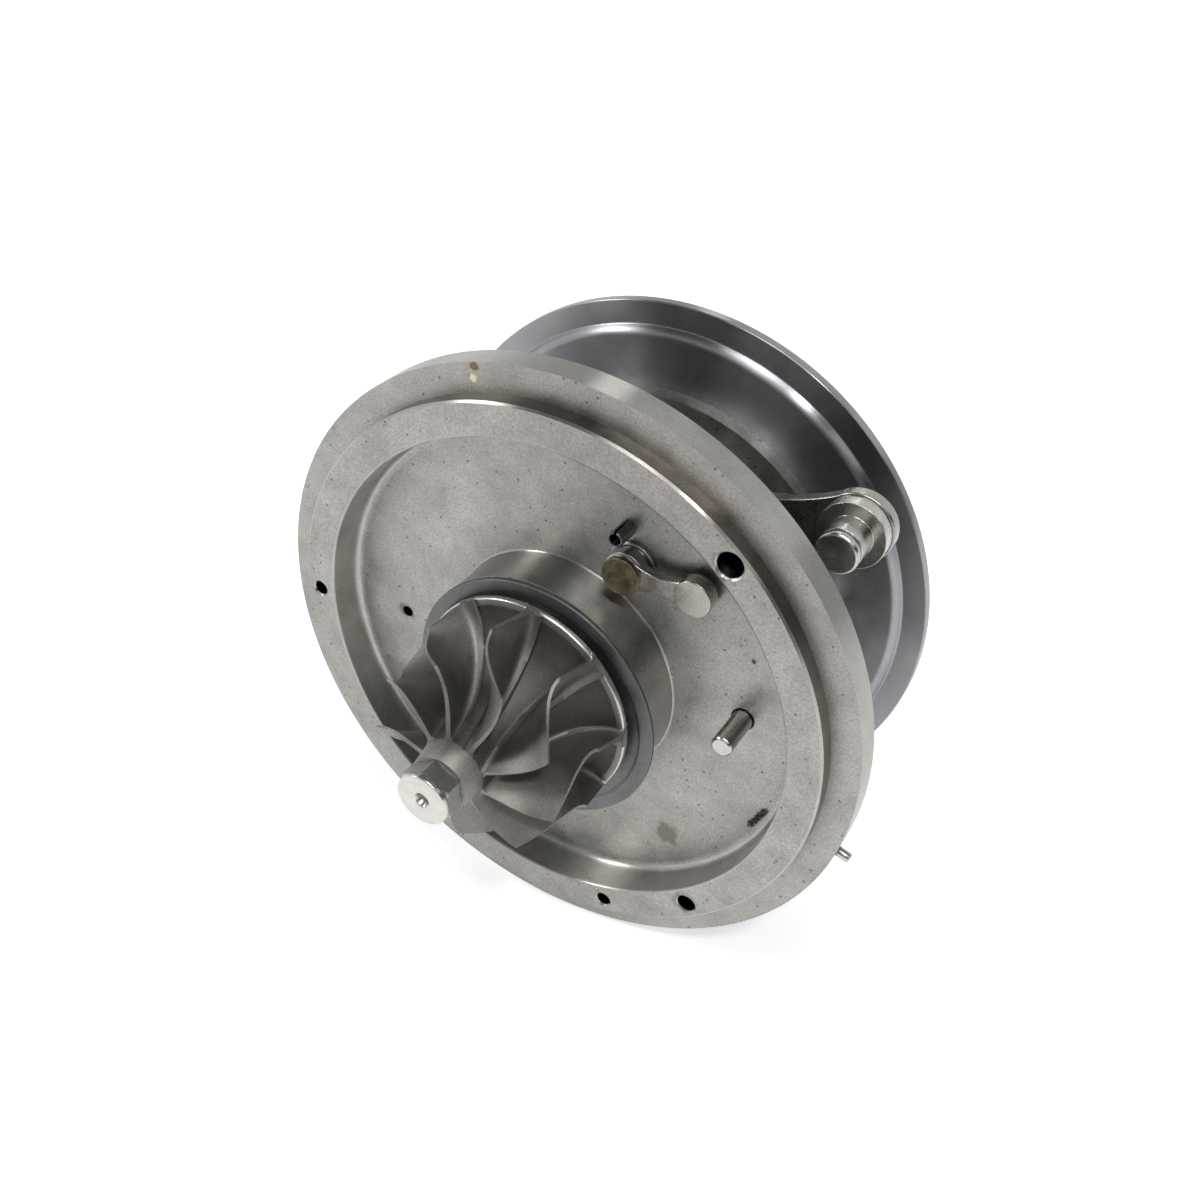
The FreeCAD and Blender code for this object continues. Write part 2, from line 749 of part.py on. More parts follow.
def oil_flinger():
    """Sleeve, flinger disc and seal hub in one, clamped between thrust collar and compressor wheel."""
    outline = [
        (stub_r, thrust_shoulder + thrust_collar_thick),
        (thrust_sleeve_r, thrust_shoulder + thrust_collar_thick),
        (thrust_sleeve_r, flinger_front),
        (thrust_collar_r, flinger_front),
        (thrust_collar_r, flinger_back),
        (flinger_hub_r, flinger_back),
        (flinger_hub_r, compressor_back),
        (stub_r, compressor_back),
    ]
    return turned(outline).cut(ring_groove(plate_bore_r, compressor_seal_y))


def oil_deflector():
    """Sheet ring behind the thrust plate, with a tongue that leads the oil down."""
    ring = tube(thrust_plate_r, thrust_collar_r + flinger_clearance, thrust_plate_back, spigot_front)
    window = Part.makeBox(deflector_window, deflector_thick, deflector_window_height,
                          Vector(-deflector_window / 2, thrust_plate_back, deflector_rim - thrust_plate_r))
    return ring.cut(window)


# Compressor back plate

def screw_places():
    return [polar(screw_circle, screw_first_angle + 360.0 * i / screw_count) for i in range(screw_count)]


def back_plate():
    groove_floor = plate_pilot_r - o_ring_section
    groove_front = plate_rim_back + (plate_pilot_length - o_ring_section) / 2
    groove_back = groove_front + o_ring_section
    plate = turned([
        (plate_bore_r, flinger_back + flinger_clearance),
        (thrust_collar_r + flinger_clearance, flinger_back + flinger_clearance),
        (thrust_collar_r + flinger_clearance, spigot_front),
        (thrust_plate_r, spigot_front),
        (thrust_plate_r, housing_rear),
        [(plate_shoulder_r + out, housing_rear + behind) for out, behind in plate_shoulder_curve],
        (plate_rim_r - edge_break, plate_rim_front),
        (plate_rim_r, plate_rim_front + edge_break),
        (plate_rim_r, plate_rim_back),
        (plate_pilot_r, plate_rim_back),
        (plate_pilot_r, groove_front),
        (groove_floor, groove_front),
        (groove_floor, groove_back),
        (plate_pilot_r, groove_back),
        (plate_pilot_r, diffuser_face),
        (wheel_pocket_r, diffuser_face),
        (wheel_pocket_r, pocket_floor),
        (plate_bore_r, pocket_floor),
    ])
    return plate.cut([rod(screw_r, housing_rear, housing_rear + screw_bite, at) for at in screw_places()])


def o_ring(radius, section, y_middle):
    return Part.makeTorus(radius, section / 2, Vector(0, y_middle, 0), Vector(0, 1, 0))


def back_plate_screws():
    screws = []
    for at in screw_places():
        washer_front = rear_flange_front - screw_washer_thick
        screw = rod(screw_r, washer_front, housing_rear + screw_bite, at)
        washer = rod(screw_washer_r, washer_front, rear_flange_front, at)
        head = hex_prism(screw_head_flats, washer_front - screw_head_height, washer_front, at)
        screws.append(screw.multiFuse([washer, head]))
    return Part.makeCompound(screws)


def shaft_nut():
    flange_end = compressor_nose_y + nut_flange_thick
    hexagon = hex_prism(nut_flats, flange_end, compressor_nose_y + nut_length)
    nut = rod(nut_flange_r, compressor_nose_y, flange_end).fuse(hexagon)
    return nut.cut(rod(stub_r, compressor_nose_y, compressor_nose_y + nut_length))


# Vane crank

inner_back = dish_floor - crank_bush_proud - crank_washer_gap
inner_front = inner_back - inner_head_thick
inner_arm_front = inner_front + inner_arm_setback
finger_front = inner_arm_front - finger_rise
outer_hub_front = crank_bush_end + crank_washer_gap
outer_back = outer_arm_front + outer_arm_thick


def crank_bush():
    return tube(crank_bush_r, crank_shaft_r + crank_clearance, dish_floor - crank_bush_proud,
                crank_bush_end, crank_axis)


def crank_shaft():
    neck = edge_break
    return turned([(0, inner_front + neck), (crank_shaft_r, inner_front + neck),
                   (crank_shaft_r, outer_back + neck), (crank_shaft_r - neck, outer_back + 2 * neck),
                   (0, outer_back + 2 * neck)], crank_axis)


def inner_crank_lever():
    """Lever in the dish: welded head, narrow arm and the round finger that moves the vanes."""
    weld_cap = turned([(0, inner_front - edge_break), (inner_weld_r, inner_front - edge_break),
                       (inner_head_r, inner_front + edge_break), (inner_head_r, inner_back),
                       (0, inner_back)], crank_axis)
    arm = arm_outline(crank_axis, inner_arm_root_r, finger_centre, inner_arm_tip_r,
                      inner_arm_half_width, inner_arm_front, inner_arm_thick)
    finger = turned([(0, finger_front), (finger_r - edge_break, finger_front),
                     (finger_r, finger_front + edge_break), (finger_r, inner_back - edge_break),
                     (finger_r - edge_break, inner_back), (0, inner_back)], finger_centre)
    lever = weld_cap.multiFuse([arm, finger])
    return lever.cut(rod(crank_shaft_r, inner_front + edge_break, inner_back, crank_axis))


def outer_crank_lever():
    """Teardrop plate on a round hub, outside the housing."""
    plate = arm_outline(crank_axis, outer_head_r, pin_centre, outer_end_r, outer_waist,
                        outer_arm_front, outer_arm_thick)
    hub = rod(outer_hub_r, outer_hub_front, outer_arm_front, crank_axis)
    lever = plate.fuse(hub)
    return lever.cut([rod(crank_shaft_r, outer_hub_front, outer_back, crank_axis),
                      rod(pin_rivet_r, outer_arm_front, outer_back, pin_centre)])


def actuator_pin():
    """Pin for the actuator rod: riveted shank, wide collar and a grooved end."""
    collar_front = outer_arm_front - pin_collar_thick
    tip = collar_front - pin_length
    groove = tip + clip_groove_from_end
    return turned([
        (0, tip),
        (pin_r - edge_break, tip),
        (pin_r, tip + edge_break),
        (pin_r, groove),
        (pin_r - clip_groove_depth, groove),
        (pin_r - clip_groove_depth, groove + clip_groove_width),
        (pin_r, groove + clip_groove_width),
        (pin_r, collar_front),
        (pin_collar_r - edge_break, collar_front),
        (pin_collar_r, collar_front + edge_break),
        (pin_collar_r, outer_arm_front),
        (pin_rivet_r, outer_arm_front),
        (pin_rivet_r, outer_back),
        (pin_rivet_head_r, outer_back),
        (pin_rivet_head_r - pin_rivet_head_thick, outer_back + pin_rivet_head_thick),
        (0, outer_back + pin_rivet_head_thick),
    ], pin_centre)


# Pins and heat shield

def nozzle_dowel_pin():
    tip = dish_floor - dowel_proud
    end = dish_floor + dowel_sunk
    return turned([(0, tip), (dowel_r - dowel_bevel, tip), (dowel_r, tip + dowel_bevel),
                   (dowel_r, dish_floor), (dowel_sunk_r, dish_floor), (dowel_sunk_r, end), (0, end)],
                  polar(dowel_circle, dowel_angle))


def nozzle_spring_pin():
    at = polar(spring_pin_circle, spring_pin_angle)
    tip = dish_floor - spring_pin_proud
    end = dish_floor + spring_pin_sunk
    pin = turned([(spring_pin_r - spring_pin_wall, tip), (spring_pin_r - spring_pin_bevel_width, tip),
                  (spring_pin_r, tip + spring_pin_bevel_length), (spring_pin_r, dish_floor),
                  (spring_pin_sunk_r, dish_floor), (spring_pin_sunk_r, end),
                  (spring_pin_sunk_r - spring_pin_wall, end),
                  (spring_pin_sunk_r - spring_pin_wall, dish_floor),
                  (spring_pin_r - spring_pin_wall, dish_floor)], at)
    slot = Part.makeBox(spring_pin_slot, end - tip, 2 * spring_pin_r,
                        Vector(at.x - spring_pin_slot / 2, tip, at.z))
    return pin.cut(slot)


def flange_index_pin():
    shank = radial_rod(index_pin_shank_r, flange_r - index_pin_sunk, flange_r)
    pin = radial_rod(index_pin_r, flange_r, flange_r + index_pin_proud).fuse(shank)
    middle = flange_r + index_pin_proud / 2
    tip_rims = [edge for edge in pin.Edges if edge.isClosed()
                and math.hypot(edge.BoundBox.Center.x, edge.BoundBox.Center.z) > middle]
    return pin.makeChamfer(index_pin_bevel, tip_rims)


def heat_shield():
    """Pressed ring: flat rim on the boss, sloping wall and a sunk floor with a wide hole.
    It hangs on the housing's nose, so it sits lower than the shaft axis by its play."""
    hole_r = nose_r + shield_play
    back = boss_front
    sunk_back = back + shield_slope
    ring = turned([
        (shield_r, back - shield_gauge),
        (shield_r, back),
        (shield_flat_r, back),
        (shield_flat_r - shield_slope, sunk_back),
        (hole_r, sunk_back),
        (hole_r, sunk_back - shield_gauge),
        (shield_flat_r - shield_slope - shield_gauge / 2, sunk_back - shield_gauge),
        (shield_flat_r - shield_gauge / 2, back - shield_gauge),
    ])
    ring.translate(Vector(0, 0, -(shield_play - shield_rest_gap)))
    return ring


parts = {
    "bearing_housing": bearing_housing(),
    "turbine_wheel": turbine_wheel(),
    "rotor_shaft": rotor_shaft(),
    "turbine_seal_ring": split_ring(seal_bore_r, turbine_seal_y),
    "heat_shield": heat_shield(),
    "turbine_journal_bush": journal_bush(front_bush_y),
    "compressor_journal_bush": journal_bush(rear_bush_y),
    "journal_circlips": journal_circlips(),
    "thrust_collar": thrust_collar(),
    "thrust_bearing": thrust_bearing(),
    "oil_flinger": oil_flinger(),
    "oil_deflector": oil_deflector(),
    "compressor_seal_ring": split_ring(plate_bore_r, compressor_seal_y),
    "back_plate": back_plate(),
    "back_plate_o_ring": o_ring(face_seal_r, face_seal_section, housing_rear - face_seal_section / 2),
    "compressor_housing_o_ring": o_ring(plate_pilot_r - o_ring_section / 2, o_ring_section,
                                        plate_rim_back + plate_pilot_length / 2),
    "back_plate_screws": back_plate_screws(),
    "compressor_wheel": compressor_wheel(),
    "shaft_nut": shaft_nut(),
    "crank_bush": crank_bush(),
    "crank_shaft": crank_shaft(),
    "inner_crank_lever": inner_crank_lever(),
    "outer_crank_lever": outer_crank_lever(),
    "actuator_pin": actuator_pin(),
    "nozzle_dowel_pin": nozzle_dowel_pin(),
    "nozzle_spring_pin": nozzle_spring_pin(),
    "flange_index_pin": flange_index_pin(),
}

os.makedirs("parts", exist_ok=True)
for name, shape in parts.items():
    solids = shape.Solids
    print(name, len(solids), "solids", shape.isValid(), round(shape.Volume, 1))
    shape.exportStep("parts/" + name + ".step")
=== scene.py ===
import math

import bpy
from mathutils import Matrix, Vector


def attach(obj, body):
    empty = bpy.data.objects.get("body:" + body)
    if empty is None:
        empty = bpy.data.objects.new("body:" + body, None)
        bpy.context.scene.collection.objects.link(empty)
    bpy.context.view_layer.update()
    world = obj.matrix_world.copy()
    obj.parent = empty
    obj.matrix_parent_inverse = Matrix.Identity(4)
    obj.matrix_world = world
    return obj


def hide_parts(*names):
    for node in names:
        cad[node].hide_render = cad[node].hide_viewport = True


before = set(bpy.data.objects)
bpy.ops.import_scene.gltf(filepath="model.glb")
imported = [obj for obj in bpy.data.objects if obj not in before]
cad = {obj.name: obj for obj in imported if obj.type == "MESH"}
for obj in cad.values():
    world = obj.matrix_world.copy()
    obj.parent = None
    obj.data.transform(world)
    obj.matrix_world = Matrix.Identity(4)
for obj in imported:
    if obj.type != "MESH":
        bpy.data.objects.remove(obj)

# Looks of a turbo cartridge, the core of a small turbocharger with variable turbine vanes.
# Sizes are in millimetres and become metres through MM. The shaft axis is Y, the turbine nose
# points to -Y, and +Z is up. The origin is in the front face of the outer flange.

MM = 0.001
FULL_TURN = 2 * math.pi
QUARTER_TURN = 0.25
SAME_PLACE = 1e-6
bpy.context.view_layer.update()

# Turbine flange and what is turned on it
FLANGE_R, FLANGE_BACK = 61.5, 5.6
RING_R, RING_FRONT = 56.0, -3.5
DISH_R, DISH_FLOOR = 49.3, 4.0
BOSS_R, BOSS_FRONT = 23.8, -5.6
NOSE_R, NOSE_FRONT = 11.6, -6.2
HOLE_CIRCLE = 52.8
DISH_HOLE_CIRCLE, DISH_HOLE_ANGLE, DISH_HOLE_R = 36.9, -177.7, 1.2
POCKET_R, POCKET_FLOOR = 22.0, -3.2
WEB_BACK, WEB_BACK_R = 10.0, 47.0
BARREL_R = 21.0
REAR_FLANGE_R, REAR_FLANGE_FRONT, HOUSING_REAR = 40.0, 41.1, 44.5
SEAL_BORE_R = 8.6
SHAFT_BORE_R, SHAFT_BORE_FRONT = 6.33, 1.0
THRUST_BORE_R, THRUST_BORE_FRONT = 16.0, 37.25

# Oil inlet on top, and the drain with its bolted face below
OIL_X, OIL_Y = -4.0, 21.0
OIL_BOSS_R, OIL_BOSS_TOP, OIL_TAP_R = 9.0, 36.0, 5.2
DRAIN_Y, DRAIN_FACE, DRAIN_HALF = 22.0, -45.0, 19.0
DRAIN_R, DRAIN_NECK_R = 8.0, 12.6
DRAIN_BOLT_R, DRAIN_BOLT_END = 2.5, -38.0
PAD_END_R, PAD_WAIST, PAD_THICK = 8.5, 12.0, 9.0

# Vane crank
CRANK_CIRCLE, CRANK_ANGLE = 31.5, 60.8
INNER_ARM, INNER_ARM_ANGLE = 13.4, -2.0
OUTER_ARM, OUTER_ARM_ANGLE = 32.9, 11.4
LEVER_FRONT, LEVER_BACK = 24.0, 26.6
SPINDLE_R, SPINDLE_END = 3.5, 27.4
BUSH_R, BUSH_BORE_R, BUSH_HOUSING_R = 4.5, 3.53, 4.55
BUSH_FRONT, BUSH_BACK, BUSH_HOUSING_BACK = 3.0, 18.0, 19.0
CRANK_BOSS_R, CRANK_BOSS_BACK = 9.0, 17.6
WELD_R, NECK_R, HEAD_R = 3.6, 3.4, 3.9
INNER_BACK, INNER_FRONT, ARM_FRONT = 2.6, -0.8, -0.2
FINGER_R, FINGER_FRONT = 3.5, -0.4
LEVER_BOSS_R, LEVER_BOSS_FRONT = 6.4, 18.4
PIN_R, PIN_GROOVE_R, PIN_RIVET_R = 3.9, 3.2, 3.1
PIN_TIP, COLLAR_R, COLLAR_FRONT = 14.35, 6.3, 21.1

# Small pins of the housing, thinner where they are sunk
PIN_ROOT = 8.0
DOWEL_R, DOWEL_SUNK_R, DOWEL_TIP = 2.0, 1.6, -4.9
SPRING_R, SPRING_SUNK_R, SPRING_TIP = 1.5, 1.3, -0.8
SPRING_BORE_R, SPRING_SUNK_BORE_R = 1.1, 0.9
INDEX_R, INDEX_ANGLE, INDEX_Y = 1.0, -17.9, 2.8
INDEX_ROOT, INDEX_TIP = 61.4, 64.1

# Turbine wheel
WHEEL_R, DISC_FRONT, DISC_BACK = 21.4, -9.5, -7.2
DISC_RIM, DISC_FLAT_R = 1.1, 15.0
WHEEL_STUB_R, WHEEL_STUB_BACK = 8.3, -5.8
TURBINE_BLADES, IMPELLER_BLADES = 9, 6
HUB_END_R, HUB_END_Y = 6.2, -30.9
HUB_FRONT_Y = -35.2
HEX_FRONT, NOSE_Y = -38.9, -39.95
NOSE_FLATS, NOSE_CAP_R, NOSE_CENTRE_R = 9.5, 5.0, 1.45

# Compressor end
PLATE_RIM_R, PLATE_RIM_FRONT, PLATE_RIM_BACK = 56.9, 46.0, 48.3
PILOT_R, DIFFUSER_FACE = 53.5, 51.5
PLATE_BORE_R, PLATE_SPIGOT_R = 6.0, 9.2
PLATE_BORE_FRONT, PLATE_SPIGOT_FRONT = 42.65, 41.2
RECESS_R, RECESS_FLOOR = 26.2, 49.3
GROOVE_DEPTH, GROOVE_FRONT, GROOVE_BACK = 1.6, 49.1, 50.7
RIM_SEAL_R, RIM_SEAL_CORD_R, RIM_SEAL_Y = 52.7, 0.8, 49.9
SCREWS, SCREW_CIRCLE, SCREW_ANGLE = 3, 33.5, -5.0
SCREW_FLATS, SCREW_TOP, SCREW_SEAT = 10.0, 36.2, 40.2
IMPELLER_R, IMPELLER_BACK, IMPELLER_NOSE = 25.0, 49.9, 71.5
IMPELLER_NOSE_R, STUB_R = 5.8, 2.6
NUT_FLATS, NUT_FLANGE_R, NUT_END = 8.5, 5.3, 77.0


def polar(radius, degrees, y=0.0):
    """Point at a radius and an angle about the shaft axis, counted from +X towards +Z."""
    turn = math.radians(degrees)
    return Vector((radius * math.cos(turn), y, radius * math.sin(turn)))


def on_axis(axis, y):
    """Point at y on a line along the shaft."""
    return axis + Vector((0, y, 0))


def off_axis(point, axis=Vector()):
    """Distance of a point from the shaft axis, or from another line along the shaft."""
    return math.hypot(point.x - axis.x, point.z - axis.z)


CRANK_AXIS = polar(CRANK_CIRCLE, CRANK_ANGLE)
FINGER_AXIS = CRANK_AXIS + polar(INNER_ARM, INNER_ARM_ANGLE)
PIN_AXIS = CRANK_AXIS + polar(OUTER_ARM, OUTER_ARM_ANGLE)
DISH_HOLE_AXIS = polar(DISH_HOLE_CIRCLE, DISH_HOLE_ANGLE)
DOWEL_AXIS = polar(37.9, 3.0)
SPRING_PIN_AXIS = polar(37.2, 67.6)


# Modelling by hand: each helper is one habit of the bench

def put_down():
    """Leaves edit mode and lets go of everything."""
    if bpy.context.mode != "OBJECT":
        bpy.ops.object.mode_set(mode="OBJECT")
    bpy.ops.object.select_all(action="DESELECT")


def pick_up(piece):
    """Takes one piece in hand: selected and active."""
    put_down()
    piece.select_set(True)
    bpy.context.view_layer.objects.active = piece


def apply_modifier(piece, modifier):
    """Makes a modifier's result the piece's own mesh."""
    pick_up(piece)
    bpy.ops.object.modifier_apply(modifier=modifier.name)


def draw_line(name, points):
    """A chain of edges through points in mm, left in edit mode with all of it selected."""
    put_down()
    bpy.ops.mesh.primitive_plane_add(size=MM)
    piece = bpy.context.object
    piece.name = name
    bpy.ops.object.mode_set(mode="EDIT")
    bpy.ops.mesh.merge(type="CENTER")
    bpy.ops.transform.translate(value=points[0] * MM)
    for here, there in zip(points, points[1:]):
        bpy.ops.mesh.extrude_vertices_move(TRANSFORM_OT_translate={"value": (there - here) * MM})
    bpy.ops.mesh.select_all(action="SELECT")
    return piece


def turned(name, outline, axis=Vector(), steps=160):
    """Lathe work: the outline of (radius, y) is drawn and spun about a line along the shaft."""
    piece = draw_line(name, [Vector((axis.x + r, y, axis.z)) for r, y in outline])
    bpy.ops.mesh.spin(steps=steps, angle=FULL_TURN, center=(axis.x * MM, 0, axis.z * MM),
                      axis=(0, 1, 0))
    bpy.ops.mesh.select_all(action="SELECT")
    bpy.ops.mesh.remove_doubles(threshold=SAME_PLACE)
    bpy.ops.mesh.normals_make_consistent(inside=False)
    put_down()
    return piece


def corner(at, before, after, size, count=4):
    """Points of a rounded corner of an outline, from the side before to the side after."""
    at, before, after = Vector(at), Vector(before), Vector(after)
    start = at + (before - at).normalized() * size
    end = at + (after - at).normalized() * size
    points = []
    for i in range(count + 1):
        along = i / count
        points.append(tuple(start * (1 - along) ** 2 + at * 2 * along * (1 - along)
                            + end * along ** 2))
    return points


def plate(name, outline, y_front, thick):
    """Flat plate from an outline of (x, z), cut out and pushed back to its thickness."""
    points = [Vector((x, y_front, z)) for x, z in outline]
    piece = draw_line(name, points + points[:1])
    bpy.ops.mesh.remove_doubles(threshold=SAME_PLACE)
    bpy.ops.mesh.select_all(action="SELECT")
    bpy.ops.mesh.edge_face_add()
    bpy.ops.mesh.extrude_region_move(TRANSFORM_OT_translate={"value": (0, thick * MM, 0)})
    bpy.ops.mesh.select_all(action="SELECT")
    bpy.ops.mesh.normals_make_consistent(inside=False)
    put_down()
    return piece


def bar(radius, start, end, sides=48):
    """Round bar between two points, as a tool to add or to cut with."""
    put_down()
    run = end - start
    bpy.ops.mesh.primitive_cylinder_add(vertices=sides, radius=radius * MM, depth=run.length * MM,
                                        location=(start + end) / 2 * MM,
                                        rotation=run.to_track_quat("Z", "Y").to_euler())
    bpy.ops.object.transform_apply(location=True, rotation=True, scale=True)
    return bpy.context.object


def block(low, high):
    """Rectangular block between two corners."""
    put_down()
    bpy.ops.mesh.primitive_cube_add(size=1, location=(low + high) / 2 * MM, scale=(high - low) * MM)
    bpy.ops.object.transform_apply(location=True, rotation=True, scale=True)
    return bpy.context.object


def work_with(piece, tools, operation):
    """Adds the tools to a piece (UNION), cuts them out (DIFFERENCE) or keeps what both
    share (INTERSECT)."""
    for tool in tools:
        step = piece.modifiers.new("tool", "BOOLEAN")
        step.operation = operation
        step.solver = "EXACT"
        step.object = tool
        apply_modifier(piece, step)
        bpy.data.objects.remove(tool, do_unlink=True)
    return piece


def deburr(piece, width, segments=2, angle=30):
    """Breaks the sharp edges, which then catch the light, and smooths the turned faces."""
    edges = piece.modifiers.new("edges", "BEVEL")
    edges.width = width * MM
    edges.segments = segments
    edges.limit_method = "ANGLE"
    edges.angle_limit = math.radians(angle)
    apply_modifier(piece, edges)
    bpy.ops.object.shade_smooth_by_angle(angle=math.radians(50))
    flat_faces = piece.modifiers.new("flat_faces", "WEIGHTED_NORMAL")
    flat_faces.keep_sharp = True
    apply_modifier(piece, flat_faces)
    return piece


def hexagon(name, flats, y_from, y_to, axis=Vector()):
    """Hexagon bar along the shaft, with its corners turned down at both ends."""
    corner_r = flats / math.sqrt(3)
    bevel = (corner_r - flats / 2) * 0.6
    prism = bar(corner_r, on_axis(axis, y_from), on_axis(axis, y_to), 6)
    prism.name = name
    lathe = turned("hexagon_ends", [
        (0, y_from), (flats / 2, y_from), (corner_r + 0.01, y_from + bevel),
        (corner_r + 0.01, y_to - bevel), (flats / 2, y_to), (0, y_to)], axis, 60)
    return work_with(prism, [lathe], "INTERSECT")


def arc(start, middle, end, count=14):
    """Points (x, z) on the circle through three points, without the last one."""
    (ax, ay), (bx, by), (cx, cy) = start, middle, end
    d = 2 * (ax * (by - cy) + bx * (cy - ay) + cx * (ay - by))
    aa, bb, cc = ax * ax + ay * ay, bx * bx + by * by, cx * cx + cy * cy
    centre = Vector(((aa * (by - cy) + bb * (cy - ay) + cc * (ay - by)) / d,
                     (aa * (cx - bx) + bb * (ax - cx) + cc * (bx - ax)) / d))
    first = math.atan2(ay - centre.y, ax - centre.x)
    via = (math.atan2(by - centre.y, bx - centre.x) - first) % FULL_TURN
    sweep = (math.atan2(cy - centre.y, cx - centre.x) - first) % FULL_TURN
    if via > sweep:
        sweep -= FULL_TURN
    radius = (Vector(start) - centre).length
    return [(centre.x + radius * math.cos(first + sweep * i / count),
             centre.y + radius * math.sin(first + sweep * i / count)) for i in range(count)]


def lever_outline(start, start_r, end, end_r, waist):
    """Outline (x, z) of a flat lever: two round ends joined by a waisted arm."""
    along = (end - start).normalized()
    across = Vector((-along.z, 0, along.x))
    lean = math.radians(62)
    middle = (start + end) / 2

    def rim(centre, radius, direction, side):
        place = centre + (along * (direction * math.cos(lean))
                          + across * (side * math.sin(lean))) * radius
        return place.x, place.z

    def flat(place):
        return place.x, place.z

    upper = arc(rim(start, start_r, 1, 1), flat(middle + across * waist), rim(end, end_r, -1, 1))
    nose = arc(rim(end, end_r, -1, 1), flat(end + along * end_r), rim(end, end_r, -1, -1), 28)
    lower = arc(rim(end, end_r, -1, -1), flat(middle - across * waist), rim(start, start_r, 1, -1))
    heel = arc(rim(start, start_r, 1, -1), flat(start - along * start_r), rim(start, start_r, 1, 1), 28)
    return upper + nose + lower + heel


# Bladed wheels

def quarter(outer, inner, degrees):
    """Point (radius, y) on a quarter ellipse that leaves the outer point radially and reaches
    the inner point along the shaft."""
    turn = math.radians(degrees)
    return (outer[0] - (outer[0] - inner[0]) * math.sin(turn),
            inner[1] + (outer[1] - inner[1]) * math.cos(turn))


def cast_blade(name, hub, shroud, thickness, fillet, twist, bow, reach, chords, spans):
    """One blade: a grid is laid along the wheel's passage, twisted, bowed towards its free end, and
    given its thickness, with a cast fillet at its root and a narrow ground edge all round."""
    put_down()
    bpy.ops.mesh.primitive_grid_add(x_subdivisions=chords, y_subdivisions=spans, size=2)
    piece = bpy.context.object
    piece.name = name
    root_t, tip_t, thinning = thickness
    thickest = root_t + 2 * max(fillet)
    group = piece.vertex_groups.new(name="thickness")
    for vertex in piece.data.vertices:
        chord = (vertex.co.x + 1) / 2
        span = ((vertex.co.y + 1) / 2) ** 1.6
        at = reach * chord
        hub_angle, tip_angle = twist(at)
        hub_r, hub_y = quarter(hub[0], hub[1], at)
        tip_r, tip_y = quarter(shroud[0], shroud[1], at)
        root, tip = polar(hub_r, hub_angle, hub_y), polar(tip_r, tip_angle, tip_y)
        height = (tip - root).length
        sink = 0.6 / height
        place = root.lerp(tip, -sink + (1 + sink) * span)
        above = max(0.0, (place - root).dot((tip - root) / height))
        root_fillet = fillet[0] + (fillet[1] - fillet[0]) * chord
        foot = 0.0
        if above < root_fillet:
            foot = root_fillet - math.sqrt(root_fillet ** 2 - (root_fillet - above) ** 2)
        local = (root_t + (tip_t - root_t) * max(0.0, span)) * (1 - thinning * chord) + 2 * foot
        group.add([vertex.index], min(1.0, local / thickest), "REPLACE")
        bulge = bow * 4 * max(0.0, span) * (1 - span) * chord ** 2
        place = Matrix.Rotation(math.radians(bulge), 3, "Y") @ place
        vertex.co = place * MM
    shell = piece.modifiers.new("thickness", "SOLIDIFY")
    shell.thickness = thickest * MM
    shell.offset = 0
    shell.vertex_group = group.name
    shell.material_offset_rim = 1
    apply_modifier(piece, shell)
    bpy.ops.object.mode_set(mode="EDIT")
    bpy.ops.mesh.select_all(action="SELECT")
    bpy.ops.mesh.normals_make_consistent(inside=False)
    put_down()
    return piece


def copies_around(piece, count, first):
    """Copies of a piece turned about the shaft, each with its own mesh."""
    turned_copies = []
    for i in range(count):
        put_down()
        copy = piece.copy()
        copy.data = piece.data.copy()
        bpy.context.collection.objects.link(copy)
        copy.data.transform(Matrix.Rotation(-math.radians(first + 360.0 * i / count), 4, "Y"))
        turned_copies.append(copy)
    bpy.data.objects.remove(piece, do_unlink=True)
    return turned_copies


def one_mesh(pieces):
    """Joins several pieces into the first."""
    pick_up(pieces[0])
    for piece in pieces[1:]:
        piece.select_set(True)
    bpy.ops.object.join()
    return pieces[0]


def hub_outline(hub, steps=18):
    """Outline of a wheel's hub from its rim to its nose, as points (radius, y)."""
    return [quarter(hub[0], hub[1], 90.0 * i / steps) for i in range(steps + 1)]


def wear_material(piece, *finishes):
    """Gives a piece its finishes, in the order of its faces' material numbers."""
    piece.data.materials.clear()
    for finish in finishes:
        piece.data.materials.append(finish)


def stands_for(piece, node, body):
    """A finished piece takes a construction node's place on its body."""
    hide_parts(node)
    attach(piece, body)


# Finishes

def linear(code):
    """sRGB hex colour to the linear colour that the shader works in."""
    values = []
    for start in (1, 3, 5):
        part = int(code[start:start + 2], 16) / 255
        values.append(part / 12.92 if part <= 0.04045 else ((part + 0.055) / 1.055) ** 2.4)
    return (*values, 1.0)


def add(tree, kind, inputs=(), **settings):
    """Adds a node, sets it up, and fills its inputs with values or with other nodes' outputs."""
    node = tree.nodes.new("ShaderNode" + kind)
    for key, value in settings.items():
        setattr(node, key, value)
    for key, value in dict(inputs).items():
        if isinstance(value, bpy.types.NodeSocket):
            tree.links.new(value, node.inputs[key])
        else:
            node.inputs[key].default_value = value
    return node


def new_material(name):
    """A material with an empty node tree, and that tree."""
    material = bpy.data.materials.new(name)
    material.use_nodes = True
    material.node_tree.nodes.clear()
    return material, material.node_tree


def per_metre(size):
    """Texture scale that repeats about once in a size given in mm."""
    return 1 / (size * MM)


